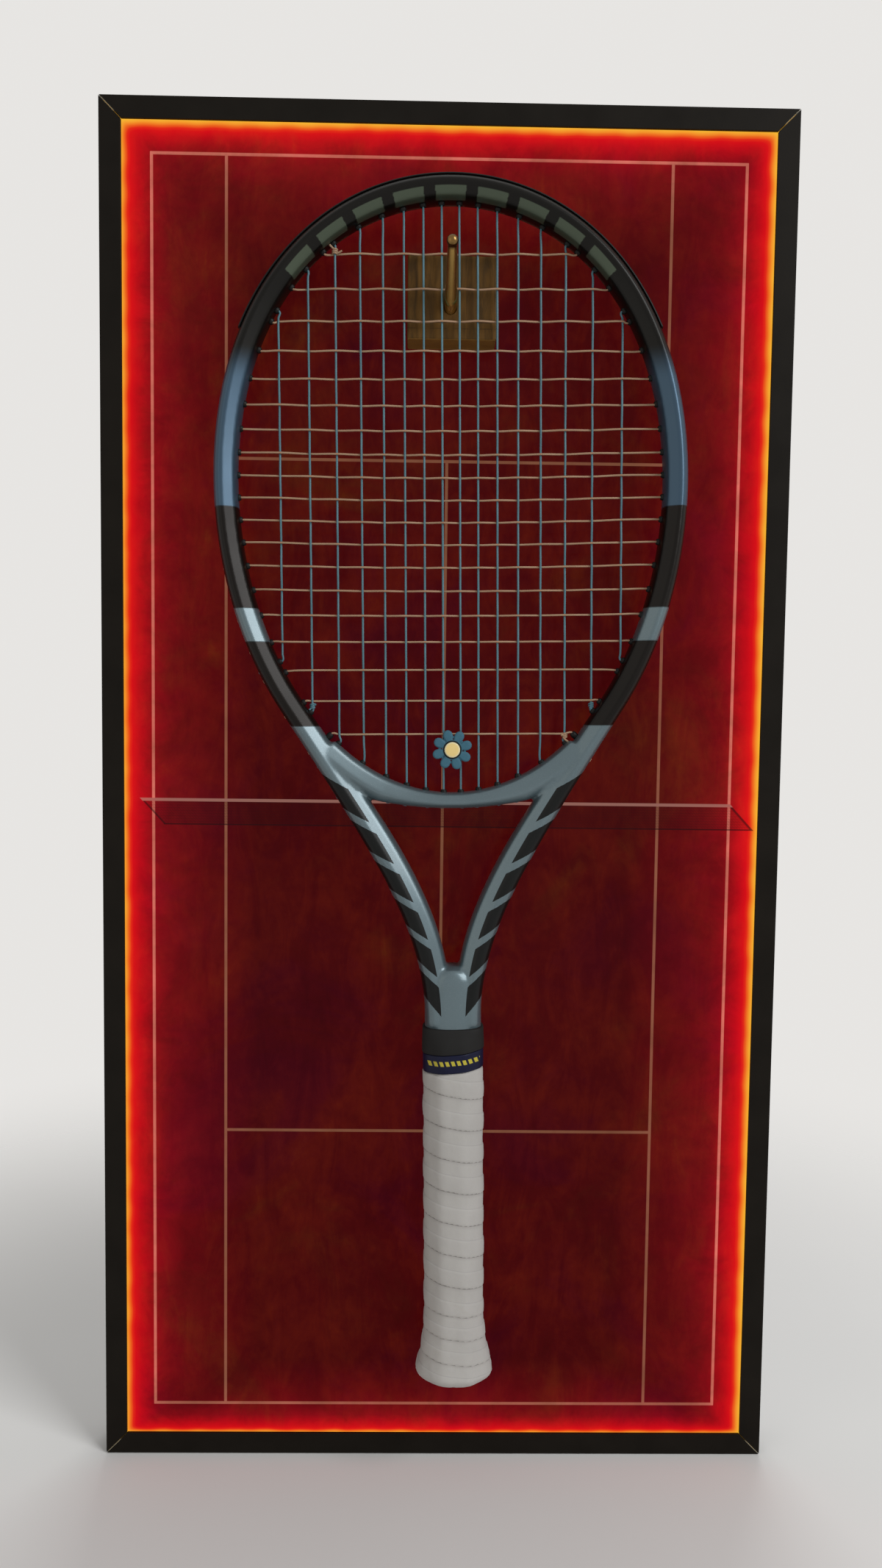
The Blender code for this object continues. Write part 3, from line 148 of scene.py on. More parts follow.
# Name, place, target, size, power in watts and colour.
LAMPS = (
    ("key", (1.6, -1.5, 1.25), (0, 0, 0.05), (1.1, 1.7), 42, (0.965, 0.985, 1)),
    ("fill", (-1.7, -1.5, 0.4), (0, 0, 0), (1.2, 1.8), 3.2, (1, 0.94, 0.80)),
    ("low_fill", (-0.2, -1.3, -0.33), (0, 0, 0.1), (1.3, 0.12), 3.0, (1, 0.98, 0.95)),
    ("back", (0.3, 2.2, 1.3), (0, 0, 0), (1.8, 1.2), 26, (1, 1, 1)),
)
AMBIENT = (0.9, 0.905, 0.91, 1)
AMBIENT_STRENGTH = 0.36
SHOWN_BACKGROUND = (0.80, 0.785, 0.765, 1)
FLOOR_Z = -0.4004
FLOOR_HALF = 12


def placed(name, data, matrix):
    made = bpy.data.objects.new(name, data)
    SCENE.collection.objects.link(made)
    made.matrix_world = matrix
    return made


def camera():
    data = bpy.data.cameras.new("photo_camera")
    data.sensor_fit = "AUTO"
    data.sensor_width = 36
    data.lens = CAMERA_LENS
    data.clip_start, data.clip_end = 0.01, 60
    turn = Matrix.Identity(4)
    for axis, degrees in CAMERA_TURNS:
        turn = turn @ Matrix.Rotation(math.radians(degrees), 4, axis)
    SCENE.camera = placed("photo_camera", data, Matrix.Translation(CAMERA_PLACE) @ turn)


def studio():
    SCENE.view_settings.view_transform = "Standard"
    for name, place, target, size, power, colour in LAMPS:
        data = bpy.data.lights.new(name, "AREA")
        data.shape = "RECTANGLE"
        data.size, data.size_y = size
        data.energy = power
        data.color = colour
        aim = (Vector(target) - Vector(place)).to_track_quat("-Z", "Y")
        made = placed(name, data, Matrix.Translation(place) @ aim.to_matrix().to_4x4())
        made.visible_glossy = name != "low_fill"
    # The world lights the object a little. Camera, glossy and transmission rays see a plain background.
    world = bpy.data.worlds.new("studio_world")
    SCENE.world = world
    world.use_nodes = True
    tree = world.node_tree
    shader = next(node for node in tree.nodes if node.type == "BACKGROUND")
    shader.inputs["Color"].default_value = AMBIENT
    shader.inputs["Strength"].default_value = AMBIENT_STRENGTH
    shown = tree.nodes.new("ShaderNodeBackground")
    shown.inputs["Color"].default_value = SHOWN_BACKGROUND
    path = tree.nodes.new("ShaderNodeLightPath")
    total = path.outputs["Is Camera Ray"]
    for ray in ("Is Glossy Ray", "Is Transmission Ray"):
        add = tree.nodes.new("ShaderNodeMath")
        add.operation = "MAXIMUM"
        tree.links.new(total, add.inputs[0])
        tree.links.new(path.outputs[ray], add.inputs[1])
        total = add.outputs[0]
    blend = tree.nodes.new("ShaderNodeMixShader")
    out = next(node for node in tree.nodes if node.type == "OUTPUT_WORLD")
    tree.links.new(total, blend.inputs[0])
    tree.links.new(shader.outputs[0], blend.inputs[1])
    tree.links.new(shown.outputs[0], blend.inputs[2])
    tree.links.new(blend.outputs[0], out.inputs["Surface"])


# Materials.


class Wire:
    """A value in a material's node tree. Arithmetic on it adds Math nodes."""

    def __init__(self, paint, socket):
        self.paint, self.socket = paint, socket

    def __add__(self, other):
        return self.paint.math("ADD", self, other)

    def __sub__(self, other):
        return self.paint.math("SUBTRACT", self, other)

    def __rsub__(self, other):
        return self.paint.math("SUBTRACT", other, self)

    def __mul__(self, other):
        return self.paint.math("MULTIPLY", self, other)

    def __truediv__(self, other):
        return self.paint.math("DIVIDE", self, other)

    def __abs__(self):
        return self.paint.math("ABSOLUTE", self)


class Paint:
    """A node material on object coordinates."""

    def __init__(self, name, roughness=0.5, metallic=0.0, **sockets):
        self.material = bpy.data.materials.new(name)
        self.material.use_nodes = True
        self.tree = self.material.node_tree
        self.shader = next(node for node in self.tree.nodes if node.type == "BSDF_PRINCIPLED")
        self.set("Roughness", roughness)
        self.set("Metallic", metallic)
        for socket, value in sockets.items():
            self.set(socket.replace("_", " "), value)
        self.place = self.made("ShaderNodeTexCoord", {}, "Object")
        self.split = None

    def feed(self, socket, value):
        if isinstance(value, Wire):
            self.tree.links.new(value.socket, socket)
        elif isinstance(value, tuple) and len(value) == 3 and socket.type == "RGBA":
            socket.default_value = (*value, 1)
        else:
            socket.default_value = value

    def set(self, socket, value):
        self.feed(self.shader.inputs[socket], value)

    def made(self, kind, inputs, output=0, **settings):
        """Adds a node, feeds its inputs and gives one of its outputs."""
        node = self.tree.nodes.new(kind)
        for key, value in settings.items():
            setattr(node, key, value)
        for socket, value in inputs.items():
            self.feed(node.inputs[socket], value)
        return Wire(self, node.outputs[output])

    def math(self, operation, *values):
        return self.made("ShaderNodeMath", dict(enumerate(values)), operation=operation)

    def largest(self, first, *others):
        for other in others:
            first = self.math("MAXIMUM", first, other)
        return first

    def away(self, x, y):
        return self.math("SQRT", x * x + y * y)

    def axis(self, letter):
        if self.split is None:
            self.split = self.tree.nodes.new("ShaderNodeSeparateXYZ")
            self.feed(self.split.inputs[0], self.place)
        return Wire(self, self.split.outputs[letter])

    def millimetres(self, letter):
        return self.axis(letter) * 1000.0

    def noise(self, scale, detail=3.0, rough=0.5, stretch=(1, 1, 1), warp=0.0):
        scaled = self.made("ShaderNodeVectorMath", {0: self.place, 1: stretch}, operation="MULTIPLY")
        inputs = {"Vector": scaled, "Scale": scale, "Detail": detail}
        inputs.update({"Roughness": rough, "Distortion": warp})
        return self.made("ShaderNodeTexNoise", inputs, "Fac")

    def attribute(self, name):
        return self.made("ShaderNodeAttribute", {}, "Fac", attribute_name=name)

    def step(self, value, low, high, start=0.0, end=1.0):
        """A smooth step of a value between two bounds."""
        inputs = {"Value": value, "From Min": low, "From Max": high, "To Min": start, "To Max": end}
        return self.made("ShaderNodeMapRange", inputs, "Result", interpolation_type="SMOOTHSTEP")

    def fall(self, value, low, high):
        """A smooth step down from 1 to 0."""
        return self.step(value, low, high, 1.0, 0.0)

    def stripe(self, value, centre, half, soft):
        """1 within half of a centre, falling to 0 over a soft edge."""
        return self.fall(abs(value - centre), half - soft / 2, half + soft / 2)

    def ramp(self, value, stops):
        made = self.tree.nodes.new("ShaderNodeValToRGB")
        elements = made.color_ramp.elements
        while len(elements) < len(stops):
            elements.new(0.5)
        for element, (place, colour) in zip(elements, stops):
            element.position = place
            element.color = (*colour, 1)
        self.feed(made.inputs[0], value)
        return Wire(self, made.outputs["Color"])

    def mix(self, factor, first, second, blend="MIX"):
        inputs = {"Factor": factor, 6: first, 7: second}
        settings = {"data_type": "RGBA", "blend_type": blend, "clamp_factor": True}
        return self.made("ShaderNodeMix", inputs, 2, **settings)

    def times(self, first, second):
        return self.mix(1.0, first, second, "MULTIPLY")

    def plus(self, first, second):
        return self.mix(1.0, first, second, "ADD")

    def red(self, colour):
        return self.made("ShaderNodeSeparateColor", {0: colour})

    def bump(self, height, distance, strength):
        inputs = {"Strength": strength, "Distance": distance, "Height": height}
        normal = self.shader.inputs["Normal"]
        if normal.is_linked:
            inputs["Normal"] = Wire(self, normal.links[0].from_socket)
        self.set("Normal", self.made("ShaderNodeBump", inputs))

    def finish(self, base, rough, bump):
        """Sets the colour, a roughness that steps with a value, and the last bump."""
        self.set("Base Color", base)
        self.set("Roughness", self.step(*rough))
        self.bump(*bump)
        return self.material


# The light box and its print, in millimetres from the middle.
BOX_HALF_W, BOX_HALF_H = 200.0, 400.0
OPENING_HALF_W, OPENING_HALF_H = 187.5, 387.5
DIODE_STEP = 20.6
GLOW_REACH = 80.0
DOUBLES_X, SINGLES_X = 170.5, 127.9
BASELINE_Z, SERVICE_Z = 369.45, 198.9
COURT_LINE_HALF = 0.85
NET_DROP, NET_SHIFT = 14.4, 13.2
NET_LEFT, NET_RIGHT = -178.0, 172.2
NET_MESH = 1.6
CHALK = (0.174, 0.067, 0.034)
# Light from the edge: the share of GLOW_REACH and the colour there.
GLOW = (
    (0.0, (0.86, 0.47, 0.035)),
    (0.022, (0.83, 0.30, 0.022)),
    (0.040, (0.77, 0.13, 0.010)),
    (0.058, (0.69, 0.020, 0.005)),
    (0.078, (0.60, 0.002, 0.005)),
    (0.12, (0.45, 0.001, 0.005)),
    (0.18, (0.30, 0.001, 0.0045)),
    (0.25, (0.165, 0.001, 0.004)),
    (0.34, (0.105, 0.001, 0.003)),
    (0.47, (0.066, 0.0008, 0.002)),
    (0.66, (0.036, 0.0003, 0.001)),
    (1.0, (0.0, 0.0, 0.0)),
)
CLAY = (
    (0.30, (0.030, 0.0006, 0.0012)),
    (0.46, (0.048, 0.0014, 0.0019)),
    (0.58, (0.072, 0.0042, 0.0022)),
    (0.72, (0.108, 0.0125, 0.0026)),
)


def rail_paint():
    p = Paint("satin_black_moulding", 0.42, Specular_IOR_Level=0.07)
    cloud = p.noise(35, 4, 0.55)
    base = p.mix(cloud, (0.0048, 0.0038, 0.0027), (0.0115, 0.0092, 0.0068))
    # A painted glint along the front of each mitre, where light shows at the mitre seam.
    inset = BOX_HALF_W - abs(p.millimetres("X"))
    off = inset - (BOX_HALF_H - abs(p.millimetres("Z")))
    front = p.fall(p.millimetres("Y"), -29.2, -28.9)
    painted_glint = p.stripe(off, 0.0, 0.32, 0.12) * p.stripe(inset, 4.8, 3.9, 1.6) * front
    base = p.mix(painted_glint, base, (0.62, 0.56, 0.42))
    return p.finish(base, (cloud, 0.2, 0.8, 0.36, 0.5), (p.noise(900, 2, 0.6), 0.00004, 0.5))


def court_paint():
    """The lit print: glow from the edges, mottled clay, the court's lines and the net."""
    p = Paint("court_print_lit", 0.16, Specular_IOR_Level=0.02, Emission_Strength=1.0)
    x, z = p.millimetres("X"), p.millimetres("Z")
    wide, high = abs(x), abs(z)
    left, low = p.fall(x, -1.0, 1.0), p.fall(z, -1.0, 1.0)

    def pulse(along, seed):
        """An uneven beat along an edge, from the single diodes."""
        beat = p.math("COSINE", (along + seed) * (math.tau / DIODE_STEP))
        return beat * 0.22 + p.noise(48, 2, 0.5) * 1.5

    side = OPENING_HALF_W - wide - pulse(z, 3.0) + left * 0.9
    end = OPENING_HALF_H - high - pulse(x, 0.0) + low * 1.5
    end = end * (low * 0.7 + 1.0)
    depth = p.math("SMOOTH_MIN", side, end, 5.0) + 1.2
    glow = p.ramp(depth / GLOW_REACH, GLOW)

    cloud = p.noise(16, 6, 0.6, warp=0.35)
    fine = p.noise(70, 5, 0.65)
    smear = p.noise(26, 7, 0.72, stretch=(2.3, 1, 0.75), warp=1.1)
    clay = p.ramp(cloud * 0.38 + (fine * 0.22 + smear * 0.4), CLAY)
    hue = p.noise(11, 5, 0.62, warp=0.9)
    clay = p.mix(p.step(hue, 0.50, 0.30), clay, p.times(clay, (0.80, 0.5, 1.9)))
    clay = p.mix(p.step(hue, 0.50, 0.70), clay, p.times(clay, (0.95, 2.3, 1.0)))

    def within(value, edge):
        return p.fall(value, edge, edge + 0.3)

    to_baseline = within(high, 370.0)
    lines = (
        (wide, DOUBLES_X, to_baseline),
        (high, BASELINE_Z, within(wide, 171.1)),
        (wide, SINGLES_X, to_baseline),
        (high, SERVICE_Z, within(wide, SINGLES_X)),
        (wide, 0.0, within(high, 199.5)),
    )
    lines = [p.stripe(value, centre, COURT_LINE_HALF, 0.35) * limit for value, centre, limit in lines]
    faded = p.largest(*lines) * p.step(p.noise(55, 4, 0.6), 0.2, 0.75, 0.72, 1.0)

    brushed = p.step(p.noise(34, 6, 0.7, warp=0.5), 0.25, 0.75, 0.62, 1.3)
    glow = p.mix(p.step(depth, 4.0, 16.0), glow, p.times(glow, brushed))
    red = p.red(glow)
    spill = p.made("ShaderNodeCombineColor", {1: red * 0.34, 2: red * 0.30})
    chalk = p.plus(p.plus(p.times(glow, (1.9, 1.0, 1.0)), CHALK), spill)
    shown = p.mix(faded, p.plus(glow, clay), chalk)

    # The net: a shaded band that leans to one side, with its posts, foot and tape.
    slide = x + z * (NET_SHIFT / NET_DROP)
    between = p.step(z, -NET_DROP - 0.2, -NET_DROP + 0.2) * p.fall(z, -0.2, 0.2)
    along = p.step(slide, NET_LEFT, NET_LEFT + 0.4) * p.fall(slide, NET_RIGHT - 0.4, NET_RIGHT)
    posts = p.largest(p.stripe(slide, -177.0, 0.7, 0.5), p.stripe(slide, 171.0, 0.9, 0.5))
    foot = p.stripe(z, -NET_DROP, 0.42, 0.35) * along
    threads = [abs(p.math("SINE", way * (math.pi / NET_MESH))) for way in (slide, z)]
    netting = p.step(p.math("MINIMUM", *threads), 0.1, 0.5, 0.42, 0.2)
    shade = p.largest(between * along * netting, posts * between * 0.75, foot * 0.8)
    shown = p.mix(shade, shown, (0.012, 0.003, 0.004))
    tape = p.stripe(z, 0.0, 0.9, 0.35) * along
    shown = p.mix(tape, shown, p.plus((0.235, 0.105, 0.085), p.times(glow, (0.5, 0.45, 0.45))))

    # Only the front face glows, because the back of the panel shows through the keyholes.
    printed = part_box("court_panel")[0].y / MM + 0.4
    front = p.fall(p.millimetres("Y"), printed, printed + 0.5)
    p.set("Emission Color", p.mix(front, (0.0, 0.0, 0.0), shown))
    ink = p.mix(p.largest(faded, tape), (0.010, 0.0012, 0.0014), (0.03, 0.012, 0.009))
    base = p.mix(front, p.mix(cloud, (0.42, 0.41, 0.39), (0.50, 0.49, 0.47)), ink)
    return p.finish(base, (fine, 0.25, 0.8, 0.12, 0.22), (p.noise(420, 3, 0.6), 0.00002, 0.3))


def metal_paint(name, colour, roughness, brushed, wear=0.35):
    p = Paint(name, roughness, 1.0)
    drawn = p.noise(60, 4, 0.6, stretch=brushed)
    cloud = p.noise(25, 3, 0.5)
    base = p.mix(drawn * cloud, colour, tuple(c * (1 - wear) for c in colour))
    return p.finish(base, (drawn, 0.2, 0.8, roughness - 0.06, roughness + 0.1), (drawn, 0.00004, 0.35))


def brass_paint():
    p = Paint("turned_brass", 0.23, 1.0)
    height = p.millimetres("Y") * -math.cos(PEG_TILT) + p.millimetres("Z") * math.sin(PEG_TILT)
    base = p.mix(p.noise(40, 1, 0.5), (0.50, 0.32, 0.095), (0.60, 0.395, 0.12))
    # Painted shade: the ball is darker than the rod.
    base = p.mix(p.step(height, 32.4, 34.4, 0.0, 0.95), base, (0.165, 0.095, 0.034))
    p.set("Base Color", base)
    turned = p.noise(170, 2, 0.5, stretch=(0.1, 5, 3))
    p.set("Roughness", p.step(turned, 0.25, 0.75, 0.20, 0.26))
    return p.material


def plastic_paint(name, colour, roughness, specular=0.4, tone=0.6, texture=1400):
    p = Paint(name, roughness, Specular_IOR_Level=specular)
    cloud = p.noise(60, 3, 0.55)
    base = p.mix(cloud, tuple(c * tone for c in colour), colour)
    ends = roughness - 0.05, roughness + 0.08
    return p.finish(base, (cloud, 0.2, 0.8, *ends), (p.noise(texture, 2, 0.5), 0.00006, 0.4))


def wood_paint(name, dark, light, saw_marks_and_painted_light):
    """Grain along Z; the last argument adds the block's two saw marks and painted light on its
    underside.
    """
    p = Paint(name, 0.5, Specular_IOR_Level=0.12)
    grain = p.noise(36, 5, 0.6, stretch=(6.5, 6.5, 0.9), warp=0.7)
    pores = p.noise(420, 3, 0.6, stretch=(2.2, 2.2, 0.09))
    cloud = p.noise(42, 2, 0.5)
    base = p.mix(p.step(grain, 0.32, 0.68), dark, light)
    base = p.mix(p.step(pores, 0.55, 0.75, 0.0, 0.55), base, tuple(c * 0.45 for c in dark))
    base = p.mix(cloud * 0.35, base, (0.095, 0.050, 0.010))
    if saw_marks_and_painted_light:
        # Heights in millimetres above the light box's middle.
        height = p.millimetres("Z")
        saw = p.largest(p.stripe(height, 271.6, 0.25, 0.4), p.stripe(height, 268.2, 0.2, 0.35))
        broken = p.step(p.noise(120, 2, 0.5), 0.38, 0.56)
        base = p.mix(saw * broken * 0.6, base, (0.016, 0.008, 0.004))
        # Painted light: the block's underside is a much brighter brown than its front.
        painted_underside_light = p.fall(height, 262.35, 262.6)
        base = p.mix(painted_underside_light, base, p.mix(grain, (0.16, 0.085, 0.022), (0.34, 0.18, 0.045)))
    return p.finish(base, (grain, 0.2, 0.8, 0.42, 0.62), (pores, 0.00012, 0.6))


def racket_paint():
    """Lacquer by height on the head and silver below, with dashes on its top and blocks on the arms."""
    p = Paint("racket_lacquer", 0.3, 0.45, Coat_Roughness=0.17, Specular_IOR_Level=0.16)
    v, w = p.millimetres("Y"), p.millimetres("Z")
    along, out = abs(p.attribute("rim_s")), p.attribute("rim_out")
    flake = p.noise(2600, 2, 0.7)
    cloud = p.noise(30, 3, 0.5)
    silver = p.mix(cloud, (0.088, 0.124, 0.140), (0.112, 0.154, 0.170))
    silver = p.mix(p.step(flake, 0.55, 0.75, 0.0, 0.22), silver, (0.34, 0.40, 0.41))
    charcoal, blue, black = (0.0068, 0.0052, 0.0042), (0.044, 0.078, 0.115), (0.0062, 0.0056, 0.0046)
    tone = silver
    # The heights in millimetres between which each colour takes over.
    for low, high, colour in (
        (45.6, 46.4, charcoal),
        (93.0, 94.0, silver),
        (111.4, 112.4, charcoal),
        (167.6, 168.6, blue),
        (236.0, 256.0, black),
    ):
        tone = p.mix(p.step(v, low, high), tone, colour)
    tone = p.mix(p.fall(along, 1.25, 1.26), silver, tone)

    # One dash for each whole number, centred at the top.
    beat = p.math("FRACT", along * 13.4 + 0.5)
    dashes = p.stripe(beat, 0.5, 0.36, 0.03) * p.stripe(out, -4.1, 3.0, 0.5)
    dashes = dashes * p.fall(along, 0.335, 0.34) * p.step(abs(w), 3.0, 3.6)
    tone = p.mix(dashes, tone, (0.062, 0.078, 0.054))

    # Six blocks on each arm, one for each whole number.
    slanted = along * 7.6 + out * 0.058
    span = p.step(slanted, 9.0, 9.01) * p.fall(slanted, 14.99, 15.0)
    blocks = p.stripe(p.math("FRACT", slanted), 0.5, 0.37, 0.012) * p.step(out, -1.7, -1.4) * span
    tone = p.mix(blocks * 0.97, tone, (0.0045, 0.004, 0.0034))
    # The clear coat is thick on the silver only.
    p.set("Coat Weight", p.step(p.red(tone), 0.074, 0.084, 0.08, 0.45))
    return p.finish(tone, (cloud, 0.2, 0.8, 0.29, 0.37), (flake, 0.00001, 0.2))


def string_paint(name, colour, lit):
    p = Paint(name, 0.34, Specular_IOR_Level=0.25)
    twist = p.noise(1500, 2, 0.5)
    base = p.mix(p.noise(110, 1, 0.4), colour, lit)
    return p.finish(base, (twist, 0.2, 0.8, 0.30, 0.38), (twist, 0.00001, 0.1))


def grip_paint():
    p = Paint("grip_tape", 0.72, Specular_IOR_Level=0.25, Sheen_Weight=0.15)
    lap = p.attribute("lap")
    cloud = p.noise(45, 4, 0.6)
    skin = p.noise(900, 3, 0.6)
    base = p.mix(cloud, (0.34, 0.325, 0.305), (0.44, 0.422, 0.402))
    # Painted shade towards the top of each lap, under the edge of the lap above, and a painted shadow
    # line just under that edge.
    base = p.mix(p.step(lap, 0.84, 1.0, 0.0, 0.4), base, (0.26, 0.247, 0.232))
    base = p.mix(p.step(lap, 0.955, 0.99) * 0.8, base, (0.09, 0.082, 0.075))
    # Painted highlight just above each lap's lower edge, and a painted shade line at the step in the
    # middle of the lap.
    base = p.times(base, p.step(lap, 0.0, 0.05, 1.10, 1.0) + p.stripe(lap, 0.525, 0.012, 0.03) * -0.14)
    handled = p.step(p.noise(90, 5, 0.7), 0.52, 0.8, 0.0, 0.3)
    p.bump(skin, 0.00012, 0.5)
    base = p.mix(handled, base, (0.31, 0.29, 0.245))
    return p.finish(base, (skin, 0.2, 0.8, 0.62, 0.8), (cloud, 0.0006, 0.25))


def band_paint():
    """Navy tape with a row of small slanted dashes on its front and back."""
    p = Paint("navy_finishing_tape", 0.4, Specular_IOR_Level=0.15)
    v = p.millimetres("Y") - p.millimetres("X") * BAND_SLANT
    base = p.mix(p.noise(130, 3, 0.6), (0.004, 0.0048, 0.017), (0.008, 0.0095, 0.032))
    lean = p.millimetres("X") + v * 0.35
    dash = p.stripe(p.math("FRACT", lean / 3.3), 0.5, 0.3, 0.1)
    trim = p.stripe(v, -145.4, 1.35, 0.35) * dash * p.step(abs(p.millimetres("Z")), 8.0, 8.4)
    p.set("Base Color", p.mix(trim * 0.85, base, (0.52, 0.44, 0.05)))
    p.bump(p.noise(1300, 2, 0.5), 0.00005, 0.4)
    return p.material


def rubber_paint(name, colour, roughness=0.62, middle_tone_and_gap_shadow=None):
    """Matt rubber; the last argument is the radius in millimetres and the colour of a round middle: the
    disc's own colour on the disc, and a painted shadow round the disc on the flower.
    """
    p = Paint(name, roughness, Specular_IOR_Level=0.12)
    cloud = p.noise(170, 3, 0.55)
    base = p.mix(cloud, tuple(c * 0.82 for c in colour), colour)
    if middle_tone_and_gap_shadow:
        radius, inner = middle_tone_and_gap_shadow
        away = p.away(p.millimetres("X"), p.millimetres("Y"))
        base = p.mix(p.step(away, radius, radius + 0.3), inner, base)
    ends = roughness - 0.06, roughness + 0.08
    return p.finish(base, (cloud, 0.2, 0.8, *ends), (p.noise(1100, 3, 0.6), 0.00005, 0.4))


# The racket's lines, in its own frame.


def head_centre(t):
    """The head's line, an oval a little wider above its middle; t is 0 at the top."""
    u = HEAD_A * math.sin(t) * (1 + 0.064 * math.cos(t) + 0.019 * math.cos(2 * t))
    return Vector((u, HEAD_V + HEAD_B * math.cos(t)))


def outward(curve, x):
    """The unit normal of a curve, away from the head's middle."""
    step = 1e-4
    along = (curve(x + step) - curve(x - step)).normalized()
    return Vector((-along.y, along.x))


def head_edge(t, out):
    return head_centre(t) + outward(head_centre, t) * out


def rim_centre(s):
    """The head's line to s = 1, then an arm: a curve drawn by four points down to the shaft at s = 2."""
    side = -1 if s < 0 else 1
    if abs(s) <= 1:
        return head_centre(s * ARM_TURN)
    start = head_centre(ARM_TURN)
    along = outward(head_centre, ARM_TURN)
    foot = Vector((ARM_FOOT_U, ARM_FOOT_V))
    first = start + Vector((along.y, -along.x)) * 100 * MM
    second = foot + Vector((0, 60 * MM))
    b = abs(s) - 1
    a = 1 - b
    point = start * a**3 + first * 3 * a * a * b + second * 3 * a * b * b + foot * b**3
    return Vector((side * point.x, point.y))


def ease(share):
    share = max(0.0, min(1.0, share))
    return share * share * (3 - 2 * share)


def rim_half(s):
    into_arm = ease((abs(s) - 0.95) / 0.5)
    into_shaft = ease((abs(s) - 1.6) / 0.4)
    return (HOOP_W + (ARM_W - HOOP_W) * into_arm + (ARM_FOOT_W - ARM_W) * into_shaft) / 2


def rim_edge(s, out):
    return rim_centre(s) + outward(rim_centre, s) * out


def yoke_half(t):
    share = min(1.0, abs(head_centre(t).x) / YOKE_FLARE_U)
    return (YOKE_W + YOKE_FLARE * share**2) / 2


def yoke_edge(t, out):
    return head_edge(t, yoke_half(t) - HOOP_W / 2 + out)


def rim_floor(s):
    return rim_half(s) - GROOVE_DEPTH + CLEAR + FLOOR_T


def yoke_floor(t):
    return yoke_half(t) - GROOVE_DEPTH + CLEAR + FLOOR_T


def solve(function, low, high):
    """Where a function that crosses zero once does so."""
    rising = function(high) > 0
    for _ in range(40):
        middle = (low + high) / 2
        if (function(middle) > 0) == rising:
            high = middle
        else:
            low = middle
    return (low + high) / 2


def main_u(index):
    """Where a main hangs. The mains and the crosses stand closer in the middle."""
    s = index - (MAINS - 1) / 2
    return s * (9.7 + 0.2 * abs(s) + 0.028 * s * s) * MM


def cross_v(index):
    s = (CROSSES - 1) / 2 - index
    return (174.2 + s * (12.3 + 0.0305 * s * s)) * MM


def crossing_v(row, u):
    """The crosses hang a little lower in the middle of the bed, as hand-woven ones do."""
    drawn = math.sin(math.pi * min(1.0, max(0.0, (row - 3) / 13)))
    return cross_v(row) - 1.9 * MM * drawn * max(0.0, 1 - (u / (105 * MM)) ** 2)


def string_holes():
    """Where the holes of the right half are round the head, spread so that neighbours keep HOLE_STEP."""
    places = {}
    for index in range(MAINS // 2, MAINS):
        u = main_u(index)
        for end, low, high in (("top", 0.0, 1.5), ("low", 1.5, math.pi)):
            places["main", index, end] = solve(lambda t: head_edge(t, MOUTH).x - u, low, high)
    for index in range(CROSSES):
        v = cross_v(index)
        places["cross", index, "end"] = solve(lambda t: head_edge(t, MOUTH).y - v, 0.01, math.pi - 0.01)
    order = sorted(places, key=places.get)
    for _ in range(60):
        for first, second in zip(order, order[1:]):
            span = (head_edge(places[second], 0) - head_edge(places[first], 0)).length
            short = HOLE_STEP - span
            if short > 0:
                share = (places[second] - places[first] + 1e-6) / (span + 1e-9) * short / 2
                places[first] -= share
                places[second] += share
    return places


class Bore:
    """One string hole: from its mouth inside the head out to the groove."""

    def __init__(self, key, t, side):
        self.side = side
        self.in_yoke = key[0] == "main" and key[2] == "low" and main_u(key[1]) < YOKE_FLARE_U
        self.mouth = head_edge(t, MOUTH)
        if self.in_yoke:
            self.axis = Vector((0, -1))
            low, high = math.pi - 0.9, math.pi
            self.exit_t = solve(lambda x: yoke_edge(x, yoke_floor(x)).x - self.mouth.x, low, high)
            self.far = yoke_edge(self.exit_t, yoke_floor(self.exit_t))
        else:
            self.axis = outward(head_centre, t)
            self.s = solve(self.beyond, 0.0, 1.6)
            self.far = rim_edge(self.s, rim_floor(self.s))

    def beyond(self, s):
        """How far the groove's floor at a place round the rim lies to one side of the bore's line."""
        reach = rim_edge(s, rim_floor(s)) - self.mouth
        return self.axis.x * reach.y - self.axis.y * reach.x

    def at(self, distance):
        point = self.mouth + self.axis * distance
        return Vector((self.side * point.x, point.y, 0))

    def length(self):
        return (self.far - self.mouth).length


def all_bores():
    """Every bore by string, index, end and side."""
    bores = {}
    for key, t in string_holes().items():
        kind, index, end = key
        bores[kind, index, end, 1] = Bore(key, t, 1)
        bores[kind, MAINS - 1 - index if kind == "main" else index, end, -1] = Bore(key, t, -1)
    return bores


# Mesh helpers.


def add(name, data, paint, body, slot, replaced, matrix=HUNG):
    made = placed(name, data, matrix)
    data.materials.append(paint)
    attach(made, body)
    if replaced:
        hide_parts(*replaced)


def skin(work, rings, caps=True):
    """Adds a quad skin over closed rings of points; returns the rings' vertices."""
    made = [[work.verts.new(point) for point in ring] for ring in rings]
    count = len(made[0])
    for low, high in zip(made, made[1:]):
        for i in range(count):
            j = (i + 1) % count
            work.faces.new((low[i], low[j], high[j], high[i]))
    if caps:
        work.faces.new(made[0][::-1])
        work.faces.new(made[-1])
    return made


def mesh_of(name, work, angle=None):
    bmesh.ops.recalc_face_normals(work, faces=work.faces)
    mesh = bpy.data.meshes.new(name)
    work.to_mesh(mesh)
    work.free()
    mesh.shade_smooth()
    if angle is not None:
        mesh.set_sharp_from_angle(angle=math.radians(angle))
    return mesh


def skinned(name, rings, paint, body, slot, node, angle, matrix=HUNG):
    """A whole piece skinned over rings of points."""
    work = bmesh.new()
    skin(work, rings)
    add(name, mesh_of(name, work, angle), paint, body, slot, [node], matrix)


